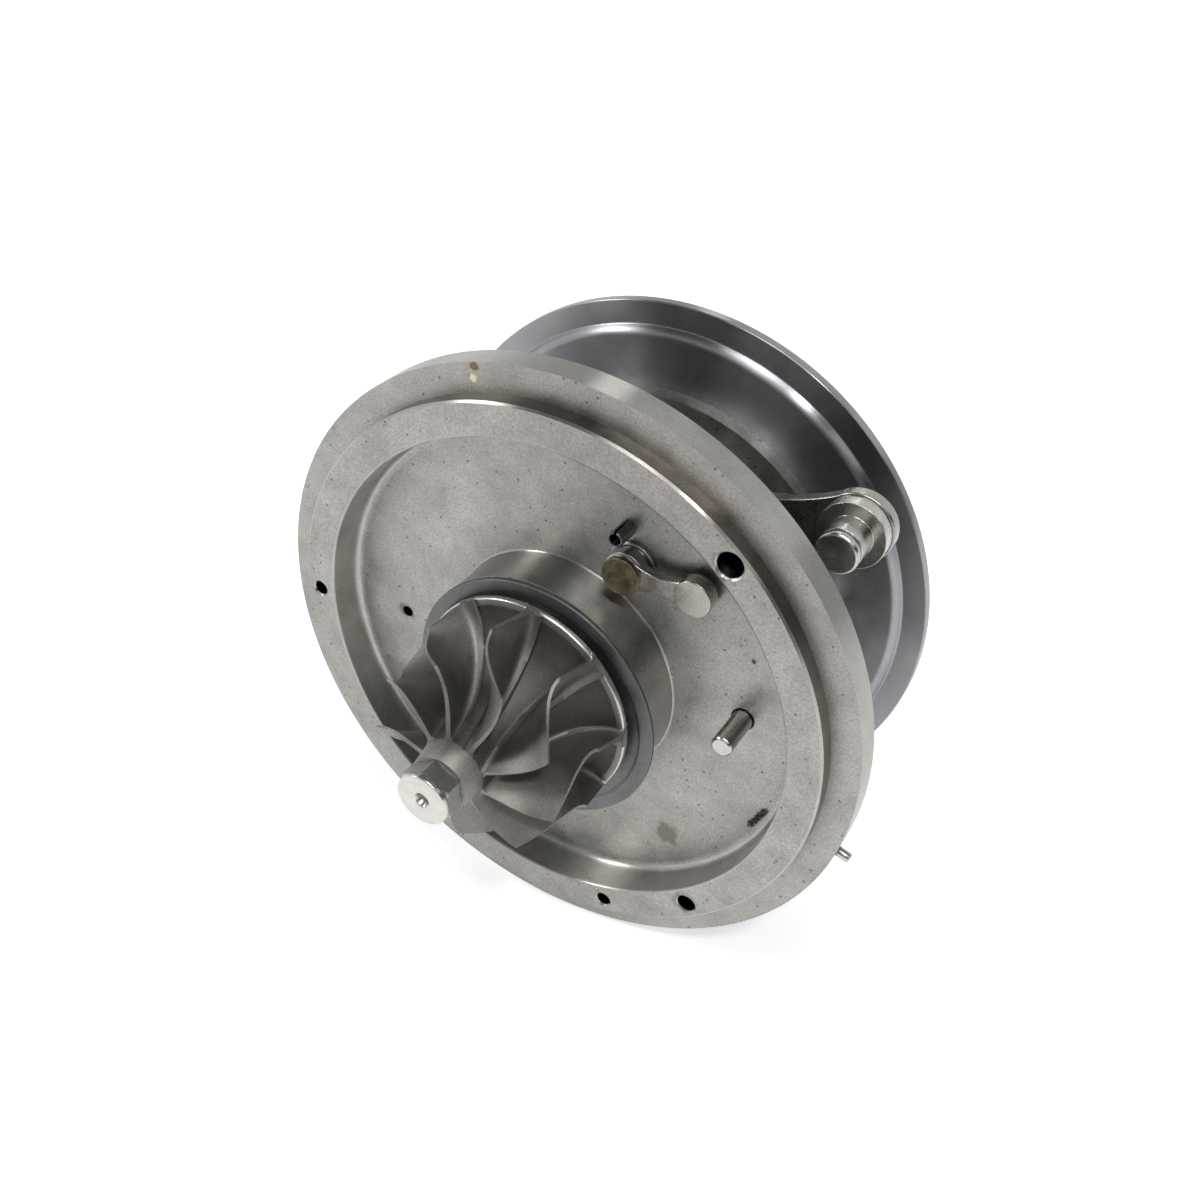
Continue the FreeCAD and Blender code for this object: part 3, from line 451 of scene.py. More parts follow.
def metal(name, light, dark, roughness, uneven=0.08, grain=0.5, relief=0.01, cloud=14.0,
          cloud_sharp=0.5, turning=0.0, turning_depth=0.0, stretch=0.0, speck=0.5, pores=0.0, spots=()):
    """A worked metal. light and dark are its two shades, which blend in clouds of the given size;
    grain and relief are its fine texture; turning is the pitch of lathe lines about the shaft axis,
    and stretch draws its highlights out across them. Pores is the spacing of small dark pits, and
    spots are stains: place, radius, colour, strength."""
    material, tree = new_material(name)
    place = add(tree, "TexCoord").outputs["Object"]
    clouds = add(tree, "TexNoise", {"Vector": place, "Scale": per_metre(cloud), "Detail": 5.0,
                                    "Roughness": 0.6})
    grains = add(tree, "TexNoise", {"Vector": place, "Scale": per_metre(grain), "Detail": 3.0})
    spread = add(tree, "MapRange", {"Value": clouds.outputs["Fac"], "From Min": 0.5 - cloud_sharp / 2,
                                    "From Max": 0.5 + cloud_sharp / 2})
    shade = add(tree, "Mix", {"Factor": spread.outputs["Result"], "A": linear(dark), "B": linear(light)},
                data_type="RGBA")
    specks = add(tree, "MapRange", {"Value": grains.outputs["Fac"], "From Min": 0.3, "From Max": 0.7,
                                    "To Min": 1 - speck, "To Max": 1 + speck / 2})
    colour = add(tree, "VectorMath", {0: shade.outputs["Result"], 1: specks.outputs["Result"]},
                 operation="MULTIPLY").outputs["Vector"]
    rough = add(tree, "MapRange", {"Value": clouds.outputs["Fac"], "From Min": 0.3, "From Max": 0.7,
                                   "To Min": roughness - uneven, "To Max": roughness + uneven})
    rough = rough.outputs["Result"]
    if pores:
        cells = add(tree, "TexVoronoi", {"Vector": place, "Scale": per_metre(pores)})
        pits = add(tree, "MapRange", {"Value": cells.outputs["Distance"], "From Min": 0.13,
                                      "From Max": 0.05, "To Min": 0.0, "To Max": 0.75})
        pitted = add(tree, "Mix", {"Factor": pits.outputs["Result"], "A": colour,
                                   "B": linear("#3b3833")}, data_type="RGBA")
        colour = pitted.outputs["Result"]
    for centre, radius, stain, strength in spots:
        away = add(tree, "VectorMath", {0: place, 1: centre * MM}, operation="DISTANCE")
        ragged = add(tree, "TexNoise", {"Vector": place, "Scale": per_metre(radius * 0.7),
                                        "Detail": 4.0})
        reach = add(tree, "Math", {0: ragged.outputs["Fac"], 1: radius * 1.6 * MM},
                    operation="MULTIPLY")
        inside = add(tree, "Math", {0: away.outputs["Value"], 1: reach.outputs["Value"]},
                     operation="DIVIDE")
        mask = add(tree, "MapRange", {"Value": inside.outputs["Value"], "From Min": 1.15,
                                      "From Max": 0.7, "To Min": 0.0, "To Max": strength})
        stained = add(tree, "Mix", {"Factor": mask.outputs["Result"], "A": colour, "B": linear(stain)},
                      data_type="RGBA")
        colour = stained.outputs["Result"]
        dull = add(tree, "Math", {0: mask.outputs["Result"], 1: 0.3, 2: rough},
                   operation="MULTIPLY_ADD")
        rough = dull.outputs["Value"]
    bump = add(tree, "Bump", {"Height": grains.outputs["Fac"], "Distance": relief * MM, "Strength": 1.0})
    if turning:
        from_axis = add(tree, "Mapping", {"Vector": place})
        rings = add(tree, "TexWave", {"Vector": from_axis.outputs["Vector"],
                                      "Scale": per_metre(turning) * FULL_TURN / 20, "Distortion": 0.4,
                                      "Detail": 2.0}, wave_type="RINGS", rings_direction="Y")
        bump = add(tree, "Bump", {"Height": rings.outputs["Fac"], "Distance": turning_depth * MM,
                                  "Strength": 1.0, "Normal": bump.outputs["Normal"]})
    shader = add(tree, "BsdfPrincipled", {"Base Color": colour, "Metallic": 1.0, "Roughness": rough,
                                          "Anisotropic": stretch,
                                          "Anisotropic Rotation": QUARTER_TURN,
                                          "Normal": bump.outputs["Normal"]})
    if stretch:
        around = add(tree, "Tangent", direction_type="RADIAL", axis="Y")
        tree.links.new(around.outputs["Tangent"], shader.inputs["Tangent"])
    add(tree, "OutputMaterial", {"Surface": shader.outputs["BSDF"]})
    return material


def rubber(name, colour):
    """Moulded nitrile rubber: nearly black, with a soft sheen and a faint dusty bloom."""
    material, tree = new_material(name)
    place = add(tree, "TexCoord").outputs["Object"]
    bloom = add(tree, "TexNoise", {"Vector": place, "Scale": per_metre(3.0), "Detail": 4.0})
    shade = add(tree, "Mix", {"Factor": bloom.outputs["Fac"], "A": linear(colour), "B": linear("#2b2b2b")},
                data_type="RGBA")
    rough = add(tree, "MapRange", {"Value": bloom.outputs["Fac"], "To Min": 0.45, "To Max": 0.7})
    shader = add(tree, "BsdfPrincipled", {"Base Color": shade.outputs["Result"],
                                          "Roughness": rough.outputs["Result"]})
    add(tree, "OutputMaterial", {"Surface": shader.outputs["BSDF"]})
    return material


# Marks of use on the turbine side: place, radius, colour and strength
marks = [
    (Vector((23.8, DISH_FLOOR, -33.3)), 3.2, "#6f6450", 0.5),
    (Vector((-13.8, 0.0, 57.0)), 0.9, "#e6dcc4", 0.95),
    (Vector((-13.5, 0.0, 59.2)), 1.1, "#6b5340", 0.7),
    (Vector((39.0, DISH_FLOOR, 15.2)), 0.6, "#3d3a36", 0.8),
    (Vector((35.2, RING_FRONT, 36.0)), 1.6, "#8a8058", 0.5),
    (Vector((31.7, RING_FRONT, -41.6)), 3.2, "#5a544c", 0.4),
    (Vector((-36.9, DISH_FLOOR, -1.5)), 2.2, "#5c574f", 0.6),
    (Vector((36.7, RING_FRONT, 38.1)), 3.4, "#565148", 0.6)]
# A scrape on the dish floor, as a row of marks that run into each other
marks += [(Vector((41.0 + 0.28 * i, DISH_FLOOR, -22.4 + 0.5 * i)), 0.95, "#3b3732", 0.6)
          for i in range(11)]
# Ductile iron, face turned and then run hot: satin grey with fine dark pores, soot clouds and stains
turned_iron = metal("turned_ductile_iron", "#a9a7a2", "#8d8b86", 0.4, uneven=0.05, grain=0.45, relief=0.012,
                    cloud=7.0, cloud_sharp=0.4, turning=0.35, turning_depth=0.003, stretch=0.7, speck=0.24,
                    pores=2.6, spots=marks)
# The same iron, fine turned on the rim, the ring and the boss: bright, with highlights drawn out
# across the lathe lines
bright_iron = metal("fine_turned_iron", "#b3b1ac", "#96948f", 0.3, uneven=0.04, grain=0.4, relief=0.004,
                    cloud=9.0, turning=0.3, turning_depth=0.003, stretch=0.92, speck=0.14)
# Sand cast skin of the same iron between the two discs: dark, dull and pebbled
cast_iron = metal("sand_cast_iron", "#827f7a", "#5f5c58", 0.6, grain=0.9, relief=0.1, cloud=7.0,
                  speck=0.3)
# The step of the ring, browned by heat and old oil
browned_iron = metal("heat_browned_iron", "#87807a", "#6c645e", 0.36, grain=0.4, relief=0.006, cloud=6.0,
                     turning=0.3, turning_depth=0.003, stretch=0.85, speck=0.2)
# Insides of the drilled and tapped holes: oily, and painted near black as shade inside the holes
oil_and_shade_iron = metal("oily_and_shaded_drilled_iron", "#3c3a37", "#262422", 0.35, grain=0.5, relief=0.02, cloud=2.0,
                  speck=0.3)
# Polished turned iron of the compressor back plate: blue-grey, with lathe lines and lights that
# spread out in cones
polished_iron = metal("polished_turned_iron", "#a8a8ab", "#8c8c91", 0.31, uneven=0.03, grain=0.4,
                      relief=0.003, cloud=16.0, turning=0.3, turning_depth=0.002, stretch=0.92,
                      speck=0.1)
# Investment cast nickel alloy: neutral to brownish grey, satin, faintly grainy
cast_alloy = metal("cast_nickel_alloy", "#928f8a", "#75726d", 0.55, uneven=0.05, grain=0.28, relief=0.01,
                   cloud=6.0, speck=0.24)
# The hub between the blades, darker partly from soot and partly as painted shade between the blades
soot_and_shade_alloy = metal("soot_and_shade_nickel_alloy", "#696661", "#504d49", 0.6, uneven=0.05, grain=0.28,
                     relief=0.01, cloud=6.0, speck=0.24)
# The same alloy where a wheel has ground it: blade edges, disc rim and nose
ground_alloy = metal("ground_nickel_alloy", "#cfcdc8", "#b1afa9", 0.3, grain=0.3, relief=0.004, cloud=5.0,
                     stretch=0.5, speck=0.1)
# Flats of the wheel's nose, and the turned steel of the weld cap's neck and the bush: turned but
# not polished
nose_alloy = metal("turned_nickel_alloy", "#a5a4a1", "#8b8a87", 0.34, grain=0.3, relief=0.004, cloud=4.0,
                   speck=0.12)
# Pressed heat-resistant sheet, darkened by heat
scaled_sheet = metal("heat_scaled_sheet", "#7b7b7b", "#5b5a5a", 0.5, uneven=0.06, grain=0.4, relief=0.008,
                     cloud=6.0, turning=0.4, turning_depth=0.004, stretch=0.4, speck=0.2)
# Polished forged steel of the levers
lever_steel = metal("polished_forged_steel", "#aeaca5", "#8f8d87", 0.28, grain=0.5, relief=0.003, cloud=4.0,
                    speck=0.07)
# Weld cap of the inner lever: heat tint of straw, brown and green
tinted_weld = metal("heat_tinted_weld", "#79755c", "#5d5044", 0.36, grain=0.4, relief=0.006, cloud=2.2,
                    cloud_sharp=0.3, speck=0.12)
# Ground steel of the pins and the shaft
ground_steel = metal("ground_steel", "#c9c8c2", "#a9a7a2", 0.26, grain=0.3, relief=0.004, cloud=5.0,
                     stretch=0.4, speck=0.1)
# Hardened spring steel with a dark oil finish
dark_steel = metal("oil_blackened_steel", "#3f3e41", "#29282a", 0.36, grain=0.4, relief=0.01, cloud=3.0,
                   speck=0.25)
# Rolled spring steel of the slotted pin, blued
spring_steel = metal("blued_spring_steel", "#77767a", "#58575b", 0.3, grain=0.4, relief=0.004, cloud=3.0,
                     stretch=0.4, speck=0.15)
# Zinc plated screw steel, slightly yellowed
plated_steel = metal("zinc_plated_steel", "#8f8b80", "#6d6a61", 0.38, grain=0.5, relief=0.01, cloud=3.0,
                     speck=0.15)
# Turned bearing bronze
turned_bronze = metal("turned_bearing_bronze", "#b08d57", "#8f6f40", 0.3, grain=0.4, relief=0.006, cloud=4.0,
                      turning=0.25, turning_depth=0.003, stretch=0.4, speck=0.12)
# Cast aluminium of the compressor wheel, with milled blade edges
cast_aluminium = metal("cast_aluminium", "#c4c5c7", "#a9aaac", 0.34, grain=0.35, relief=0.012, cloud=7.0,
                       speck=0.1)
milled_aluminium = metal("milled_aluminium", "#d4d5d7", "#bfc0c2", 0.22, grain=0.3, relief=0.005, cloud=5.0,
                         turning=0.2, turning_depth=0.003, stretch=0.4, speck=0.06)
seal_rubber = rubber("moulded_nitrile_rubber", "#171717")

node_finish = {
    "rotor_shaft": ground_steel,
    "turbine_seal_ring": dark_steel,
    "turbine_journal_bush": turned_bronze,
    "compressor_journal_bush": turned_bronze,
    "journal_circlips": dark_steel,
    "thrust_collar": ground_steel,
    "thrust_bearing": turned_bronze,
    "oil_flinger": ground_steel,
    "oil_deflector": plated_steel,
    "compressor_seal_ring": dark_steel,
    "back_plate_o_ring": seal_rubber,
}
for node, finish in node_finish.items():
    wear_material(cad[node], finish)

# Camera at the photograph's place, worked out from the turned edges seen there

camera_data = bpy.data.cameras.new("camera")
camera_data.sensor_width = 36.0
camera_data.lens = 38.12
camera = bpy.data.objects.new("camera", camera_data)
bpy.context.scene.collection.objects.link(camera)
right = Vector((0.8608, 0.5090, 0.0)).normalized()
back = Vector((0.4182, -0.7073, 0.5699)).normalized()
up = back.cross(right)
camera.matrix_world = Matrix.Translation(Vector((104.09, -157.72, 147.57)) * MM) @ Matrix(
    (right, up, back)).transposed().to_4x4()
camera_data.clip_start = 0.01
camera_data.clip_end = 20.0
bpy.context.scene.camera = camera


# Bearing housing

housing = turned("housing_casting", [
    (SEAL_BORE_R, NOSE_FRONT), (NOSE_R, NOSE_FRONT), (NOSE_R, POCKET_FLOOR), (POCKET_R, POCKET_FLOOR),
    (POCKET_R, BOSS_FRONT), (BOSS_R, BOSS_FRONT),
    *corner((BOSS_R, DISH_FLOOR), (BOSS_R, BOSS_FRONT), (DISH_R, DISH_FLOOR), 0.6),
    *corner((DISH_R, DISH_FLOOR), (BOSS_R, DISH_FLOOR), (DISH_R, RING_FRONT), 1.9, 6),
    *corner((DISH_R, RING_FRONT), (DISH_R, DISH_FLOOR), (RING_R, RING_FRONT), 0.7),
    (RING_R - 0.4, RING_FRONT), (RING_R, RING_FRONT + 0.4), (RING_R, 0), (FLANGE_R, 0),
    (FLANGE_R, FLANGE_BACK),
    (WEB_BACK_R + WEB_BACK - FLANGE_BACK, FLANGE_BACK), (WEB_BACK_R, WEB_BACK), (30.0, WEB_BACK),
    (26.6, 10.9), (24.3, 12.1), (22.6, 13.9), (21.5, 16.2), (BARREL_R, 20.0),
    (BARREL_R, REAR_FLANGE_FRONT - 4.0), (BARREL_R + 1.2, REAR_FLANGE_FRONT - 1.8),
    (BARREL_R + 4.0, REAR_FLANGE_FRONT), (REAR_FLANGE_R, REAR_FLANGE_FRONT),
    (REAR_FLANGE_R, HOUSING_REAR), (THRUST_BORE_R, HOUSING_REAR), (THRUST_BORE_R, THRUST_BORE_FRONT),
    (SHAFT_BORE_R, THRUST_BORE_FRONT), (SHAFT_BORE_R, SHAFT_BORE_FRONT),
    (SEAL_BORE_R, SHAFT_BORE_FRONT), (SEAL_BORE_R, NOSE_FRONT)], steps=192)


def oil_inlet(z):
    """Point on the axis of the oil inlet."""
    return Vector((OIL_X, OIL_Y, z))


def drain(z, x=0):
    """Point on the axis of the oil drain, or beside it."""
    return Vector((x, DRAIN_Y, z))


drain_foot = lever_outline(Vector((-DRAIN_HALF, 0, 0)), PAD_END_R, Vector((DRAIN_HALF, 0, 0)),
                           PAD_END_R, PAD_WAIST)
pad = plate("drain_pad", drain_foot, 0, PAD_THICK)
pad.data.transform(Matrix.Translation(Vector((0, DRAIN_Y, DRAIN_FACE)) * MM) @
                   Matrix(((1, 0, 0, 0), (0, 0, 1, 0), (0, 1, 0, 0), (0, 0, 0, 1))))
pick_up(pad)
bpy.ops.object.mode_set(mode="EDIT")
bpy.ops.mesh.select_all(action="SELECT")
bpy.ops.mesh.normals_make_consistent(inside=False)
put_down()
work_with(housing, [
    bar(CRANK_BOSS_R, on_axis(CRANK_AXIS, WEB_BACK - 0.4), on_axis(CRANK_AXIS, CRANK_BOSS_BACK)),
    bar(OIL_BOSS_R, oil_inlet(9.0), oil_inlet(OIL_BOSS_TOP), 64),
    bar(DRAIN_NECK_R, drain(DRAIN_FACE + 0.3), drain(-10.0), 64),
    pad], "UNION")
drills = [
    bar(DISH_HOLE_R, on_axis(DISH_HOLE_AXIS, DISH_FLOOR - 1), on_axis(DISH_HOLE_AXIS, DISH_FLOOR + 3.5),
        24),
    bar(BUSH_HOUSING_R, on_axis(CRANK_AXIS, DISH_FLOOR - 1), on_axis(CRANK_AXIS, BUSH_HOUSING_BACK)),
    bar(OIL_TAP_R, oil_inlet(24.0), oil_inlet(OIL_BOSS_TOP + 4), 48),
    bar(DRAIN_R, drain(DRAIN_FACE - 1), drain(-9.0), 64)]
drills += [bar(DRAIN_BOLT_R, drain(DRAIN_FACE - 1, x), drain(DRAIN_BOLT_END, x), 32)
           for x in (DRAIN_HALF, -DRAIN_HALF)]
drills.append(bar(DOWEL_R + 0.3, on_axis(DOWEL_AXIS, DISH_FLOOR - 1),
                  on_axis(DOWEL_AXIS, DISH_FLOOR + 0.5)))
work_with(housing, drills, "DIFFERENCE")
# Holes in the ring: angle and radius. The first is tapped.
ring_holes = [(46.2, 2.4), (-52.4, 1.9), (176.7, 1.5), (-75.1, 1.5)]


def ring_drill(angle, radius, chamfer=0.3, depth=7.0):
    """Drill with a shoulder that breaks the edge of the hole."""
    return turned("ring_drill", [
        (0, RING_FRONT - 1), (radius + chamfer + 1, RING_FRONT - 1), (radius, RING_FRONT + chamfer),
        (radius, RING_FRONT + depth), (0, RING_FRONT + depth)], polar(HOLE_CIRCLE, angle), 48)


def tap(angle, radius, pitch=0.7, cut=0.16, crests=8):
    """Thread of a tapped hole, as a stack of sharp grooves."""
    start = RING_FRONT + 0.5
    outline = [(0, start)]
    for i in range(crests):
        y = start + i * pitch
        outline += [(radius - 0.01, y), (radius + cut, y + pitch / 2)]
    end = start + crests * pitch
    outline += [(radius - 0.01, end), (0, end)]
    return turned("tap", outline, polar(HOLE_CIRCLE, angle), 48)


deburr(housing, 0.18)
work_with(housing, [ring_drill(angle, radius) for angle, radius in ring_holes], "DIFFERENCE")
work_with(housing, [tap(*ring_holes[0])], "DIFFERENCE")
wear_material(housing, turned_iron, bright_iron, cast_iron, oil_and_shade_iron, browned_iron)
BRIGHT, CAST, OIL_AND_SHADE, BROWNED = 1, 2, 3, 4
ring_spots = [(polar(HOLE_CIRCLE, angle), hole_r + 0.3) for angle, hole_r in ring_holes]
dish_spots = [(DOWEL_AXIS, DOWEL_R + 0.6), (DISH_HOLE_AXIS, DISH_HOLE_R + 0.3)]
for face in housing.data.polygons:
    middle, normal = face.center / MM, face.normal
    radius = off_axis(middle)
    if middle.y > FLANGE_BACK + 0.5 and radius < FLANGE_R - 1 and middle.y < REAR_FLANGE_FRONT - 0.5:
        face.material_index = CAST
    elif abs(normal.y) < 0.9 and middle.y < FLANGE_BACK + 0.5:
        face.material_index = BRIGHT
    # Walls of the holes: oil, and painted shade inside the holes
    if middle.y > RING_FRONT + 0.45 and any(off_axis(middle, at) < size for at, size in ring_spots):
        face.material_index = OIL_AND_SHADE
    if middle.y > DISH_FLOOR + 0.02 and any(off_axis(middle, at) < size for at, size in dish_spots):
        face.material_index = OIL_AND_SHADE
    if RING_FRONT + 0.5 < middle.y < -0.2 and abs(radius - RING_R) < 0.1:
        face.material_index = BROWNED
stands_for(housing, "bearing_housing", "housing")

# Heat shield: a pressed ring that has dropped on the housing's nose

SHIELD_DROP = Vector((0, 0, -2.0))
shield = turned("heat_shield_pressing", [
    (25.4, -6.4), (25.4, -5.6), (19.6, -5.6), (18.4, -4.4), (13.7, -4.4), (13.7, -5.2), (18.0, -5.2),
    (19.3, -6.15), (22.4, -6.15), (22.8, -6.4), (25.4, -6.4)], SHIELD_DROP)
deburr(shield, 0.22)
wear_material(shield, scaled_sheet)
stands_for(shield, "heat_shield", "housing")

# Turbine wheel

turbine_hub = ((WHEEL_R, DISC_FRONT), (HUB_END_R, HUB_END_Y))
turbine_shroud = ((WHEEL_R, DISC_FRONT - 8.3), (19.1, -28.1))


def turbine_twist(at):
    """Angles of a turbine blade's root and tip at a point of its passage, counted in degrees of the
    quarter ellipse from the rim."""
    travel = max(0.0, 1 - math.cos(math.radians(at))) ** 1.8
    return -26.0 * travel, 7.5 - 27.5 * travel


turbine = turned("turbine_casting", [
    (0, HUB_FRONT_Y), (5.35, HUB_FRONT_Y), (5.5, HUB_FRONT_Y + 0.15), *hub_outline(turbine_hub)[:0:-1],
    (WHEEL_R - 0.22, DISC_FRONT), (WHEEL_R, DISC_FRONT + 0.2), (WHEEL_R, DISC_FRONT + DISC_RIM),
    (DISC_FLAT_R, DISC_BACK), (WHEEL_STUB_R, DISC_BACK), (WHEEL_STUB_R, WHEEL_STUB_BACK),
    (0, WHEEL_STUB_BACK)])
turbine_blade = cast_blade("turbine_blade", turbine_hub, turbine_shroud, thickness=(1.3, 0.62, 0.3),
                           fillet=(1.7, 0.9), twist=turbine_twist, bow=5.0, reach=90.0, chords=32,
                           spans=18)
blades = one_mesh(copies_around(turbine_blade, TURBINE_BLADES, 2.4))
work_with(turbine, [blades], "UNION")
wear_material(turbine, cast_alloy, ground_alloy)
GROUND, NOSE_TURNED, SOOT_AND_SHADE = 1, 2, 3
pick_up(turbine)
bpy.ops.object.shade_smooth_by_angle(angle=math.radians(60))
nose = hexagon("nose_hexagon", NOSE_FLATS, HEX_FRONT, HUB_FRONT_Y + 0.2)
deburr(nose, 0.12)
wear_material(nose, cast_alloy, ground_alloy, nose_alloy)
for face in nose.data.polygons:
    face.material_index = NOSE_TURNED
cap = turned("nose_cap", [
    (0, NOSE_Y + 3.1), (0.8, NOSE_Y + 2.6), (0.8, NOSE_Y + NOSE_CENTRE_R), (NOSE_CENTRE_R, NOSE_Y),
    (NOSE_CAP_R, NOSE_Y), (NOSE_CAP_R, HEX_FRONT + 0.1), (0, HEX_FRONT + 0.1)])
deburr(cap, 0.2)
wear_material(cap, cast_alloy, ground_alloy)
for face in cap.data.polygons:
    face.material_index = GROUND
turbine = one_mesh([turbine, nose, cap])
turbine.data.materials.append(soot_and_shade_alloy)
hub_curve = hub_outline(turbine_hub, 90)
for face in turbine.data.polygons:
    middle = face.center / MM
    radius = off_axis(middle)
    if radius > WHEEL_R - 0.25 and DISC_FRONT - 0.1 < middle.y < DISC_FRONT + DISC_RIM + 0.1:
        face.material_index = GROUND
    elif HUB_END_Y < middle.y < DISC_FRONT and radius < WHEEL_R - 1:
        from_hub = min(math.hypot(radius - hub_r, middle.y - hub_y) for hub_r, hub_y in hub_curve)
        # Faces near the hub between the blades: soot, and painted shade between the blades
        if from_hub < 0.4:
            face.material_index = SOOT_AND_SHADE
stands_for(turbine, "turbine_wheel", "rotor")

# Vane crank: the inner lever with its weld cap and finger

weld_cap = turned("inner_lever_head", [
    (0, INNER_FRONT - 0.4), (WELD_R, INNER_FRONT - 0.4), (WELD_R, INNER_FRONT + 0.7),
    (NECK_R, INNER_FRONT + 0.8), (NECK_R, INNER_FRONT + 1.1), (HEAD_R, INNER_FRONT + 1.2),
    (HEAD_R, INNER_BACK), (0, INNER_BACK)], CRANK_AXIS, 64)
deburr(weld_cap, 0.12)
wear_material(weld_cap, nose_alloy, tinted_weld)
TINTED = 1
for face in weld_cap.data.polygons:
    if face.center.y / MM < INNER_FRONT + 0.75:
        face.material_index = TINTED
arm = plate("inner_lever_arm", lever_outline(CRANK_AXIS, 3.5, FINGER_AXIS, 3.2, 1.7), ARM_FRONT, 2.0)
deburr(arm, 0.25)
wear_material(arm, lever_steel, tinted_weld)
finger = turned("inner_lever_finger", [
    (0, FINGER_FRONT), (FINGER_R, FINGER_FRONT), (FINGER_R, INNER_BACK), (0, INNER_BACK)],
                FINGER_AXIS, 64)
deburr(finger, 0.25, 3)
wear_material(finger, lever_steel, tinted_weld)
inner_lever = one_mesh([weld_cap, arm, finger])
stands_for(inner_lever, "inner_crank_lever", "vane_crank")

bush = turned("crank_bush_sleeve", [
    (BUSH_BORE_R, BUSH_FRONT), (BUSH_R, BUSH_FRONT), (BUSH_R, BUSH_BACK), (BUSH_BORE_R, BUSH_BACK),
    (BUSH_BORE_R, BUSH_FRONT)], CRANK_AXIS, 64)
deburr(bush, 0.2)
wear_material(bush, nose_alloy)
stands_for(bush, "crank_bush", "housing")

spindle = turned("crank_spindle", [
    (0, -0.4), (SPINDLE_R, -0.4), (SPINDLE_R, SPINDLE_END), (0, SPINDLE_END)], CRANK_AXIS, 64)
deburr(spindle, 0.4, 3)
wear_material(spindle, ground_steel)
stands_for(spindle, "crank_shaft", "vane_crank")

# The outer lever and the actuator pin

outer_lever = plate("outer_lever_plate", lever_outline(CRANK_AXIS, 7.4, PIN_AXIS, 6.7, 4.3), LEVER_FRONT,
                    LEVER_BACK - LEVER_FRONT)
work_with(outer_lever, [
    bar(LEVER_BOSS_R, on_axis(CRANK_AXIS, LEVER_BOSS_FRONT), on_axis(CRANK_AXIS, LEVER_FRONT + 0.5),
        64)], "UNION")
work_with(outer_lever, [
    bar(SPINDLE_R, on_axis(CRANK_AXIS, 17.0), on_axis(CRANK_AXIS, 28.0), 64),
    bar(PIN_RIVET_R, on_axis(PIN_AXIS, 20.0), on_axis(PIN_AXIS, 28.0), 64)], "DIFFERENCE")
deburr(outer_lever, 0.35, 3)
wear_material(outer_lever, lever_steel)
stands_for(outer_lever, "outer_crank_lever", "vane_crank")

pin = turned("actuator_pin_turned", [
    (0, PIN_TIP), (PIN_R - 0.4, PIN_TIP), (PIN_R, PIN_TIP + 0.4), (PIN_R, PIN_TIP + 1.4),
    (PIN_GROOVE_R, PIN_TIP + 1.4), (PIN_GROOVE_R, PIN_TIP + 1.95), (PIN_R, PIN_TIP + 1.95),
    (PIN_R, COLLAR_FRONT), (COLLAR_R, COLLAR_FRONT), (COLLAR_R, LEVER_FRONT),
    (PIN_RIVET_R, LEVER_FRONT), (PIN_RIVET_R, LEVER_BACK), (4.2, LEVER_BACK), (3.5, LEVER_BACK + 0.7),
    (0, LEVER_BACK + 0.7)], PIN_AXIS, 96)
deburr(pin, 0.15)
wear_material(pin, ground_steel)
stands_for(pin, "actuator_pin", "vane_crank")

# Small pins of the housing

dowel = turned("nozzle_dowel", [
    (0, DOWEL_TIP), (DOWEL_R - 0.4, DOWEL_TIP), (DOWEL_R, DOWEL_TIP + 0.4), (DOWEL_R, DISH_FLOOR),
    (DOWEL_SUNK_R, DISH_FLOOR), (DOWEL_SUNK_R, PIN_ROOT), (0, PIN_ROOT)], DOWEL_AXIS, 48)
deburr(dowel, 0.08)
wear_material(dowel, ground_steel)
stands_for(dowel, "nozzle_dowel_pin", "housing")

spring_pin = turned("nozzle_spring_pin_rolled", [
    (SPRING_BORE_R, SPRING_TIP), (SPRING_R - 0.2, SPRING_TIP), (SPRING_R, SPRING_TIP + 0.5),
    (SPRING_R, DISH_FLOOR), (SPRING_SUNK_R, DISH_FLOOR), (SPRING_SUNK_R, PIN_ROOT),
    (SPRING_SUNK_BORE_R, PIN_ROOT), (SPRING_SUNK_BORE_R, DISH_FLOOR), (SPRING_BORE_R, DISH_FLOOR),
    (SPRING_BORE_R, SPRING_TIP)], SPRING_PIN_AXIS, 48)
slot = block(SPRING_PIN_AXIS + Vector((-0.25, -2, 0)), SPRING_PIN_AXIS + Vector((0.25, 9, 3)))
work_with(spring_pin, [slot], "DIFFERENCE")
deburr(spring_pin, 0.06)
wear_material(spring_pin, spring_steel)
stands_for(spring_pin, "nozzle_spring_pin", "housing")

index_pin = bar(INDEX_R, polar(INDEX_ROOT, INDEX_ANGLE, INDEX_Y), polar(INDEX_TIP, INDEX_ANGLE, INDEX_Y),
                32)
index_pin.name = "flange_index_dowel"
deburr(index_pin, 0.25)
wear_material(index_pin, ground_steel)
stands_for(index_pin, "flange_index_pin", "housing")

# Compressor back plate

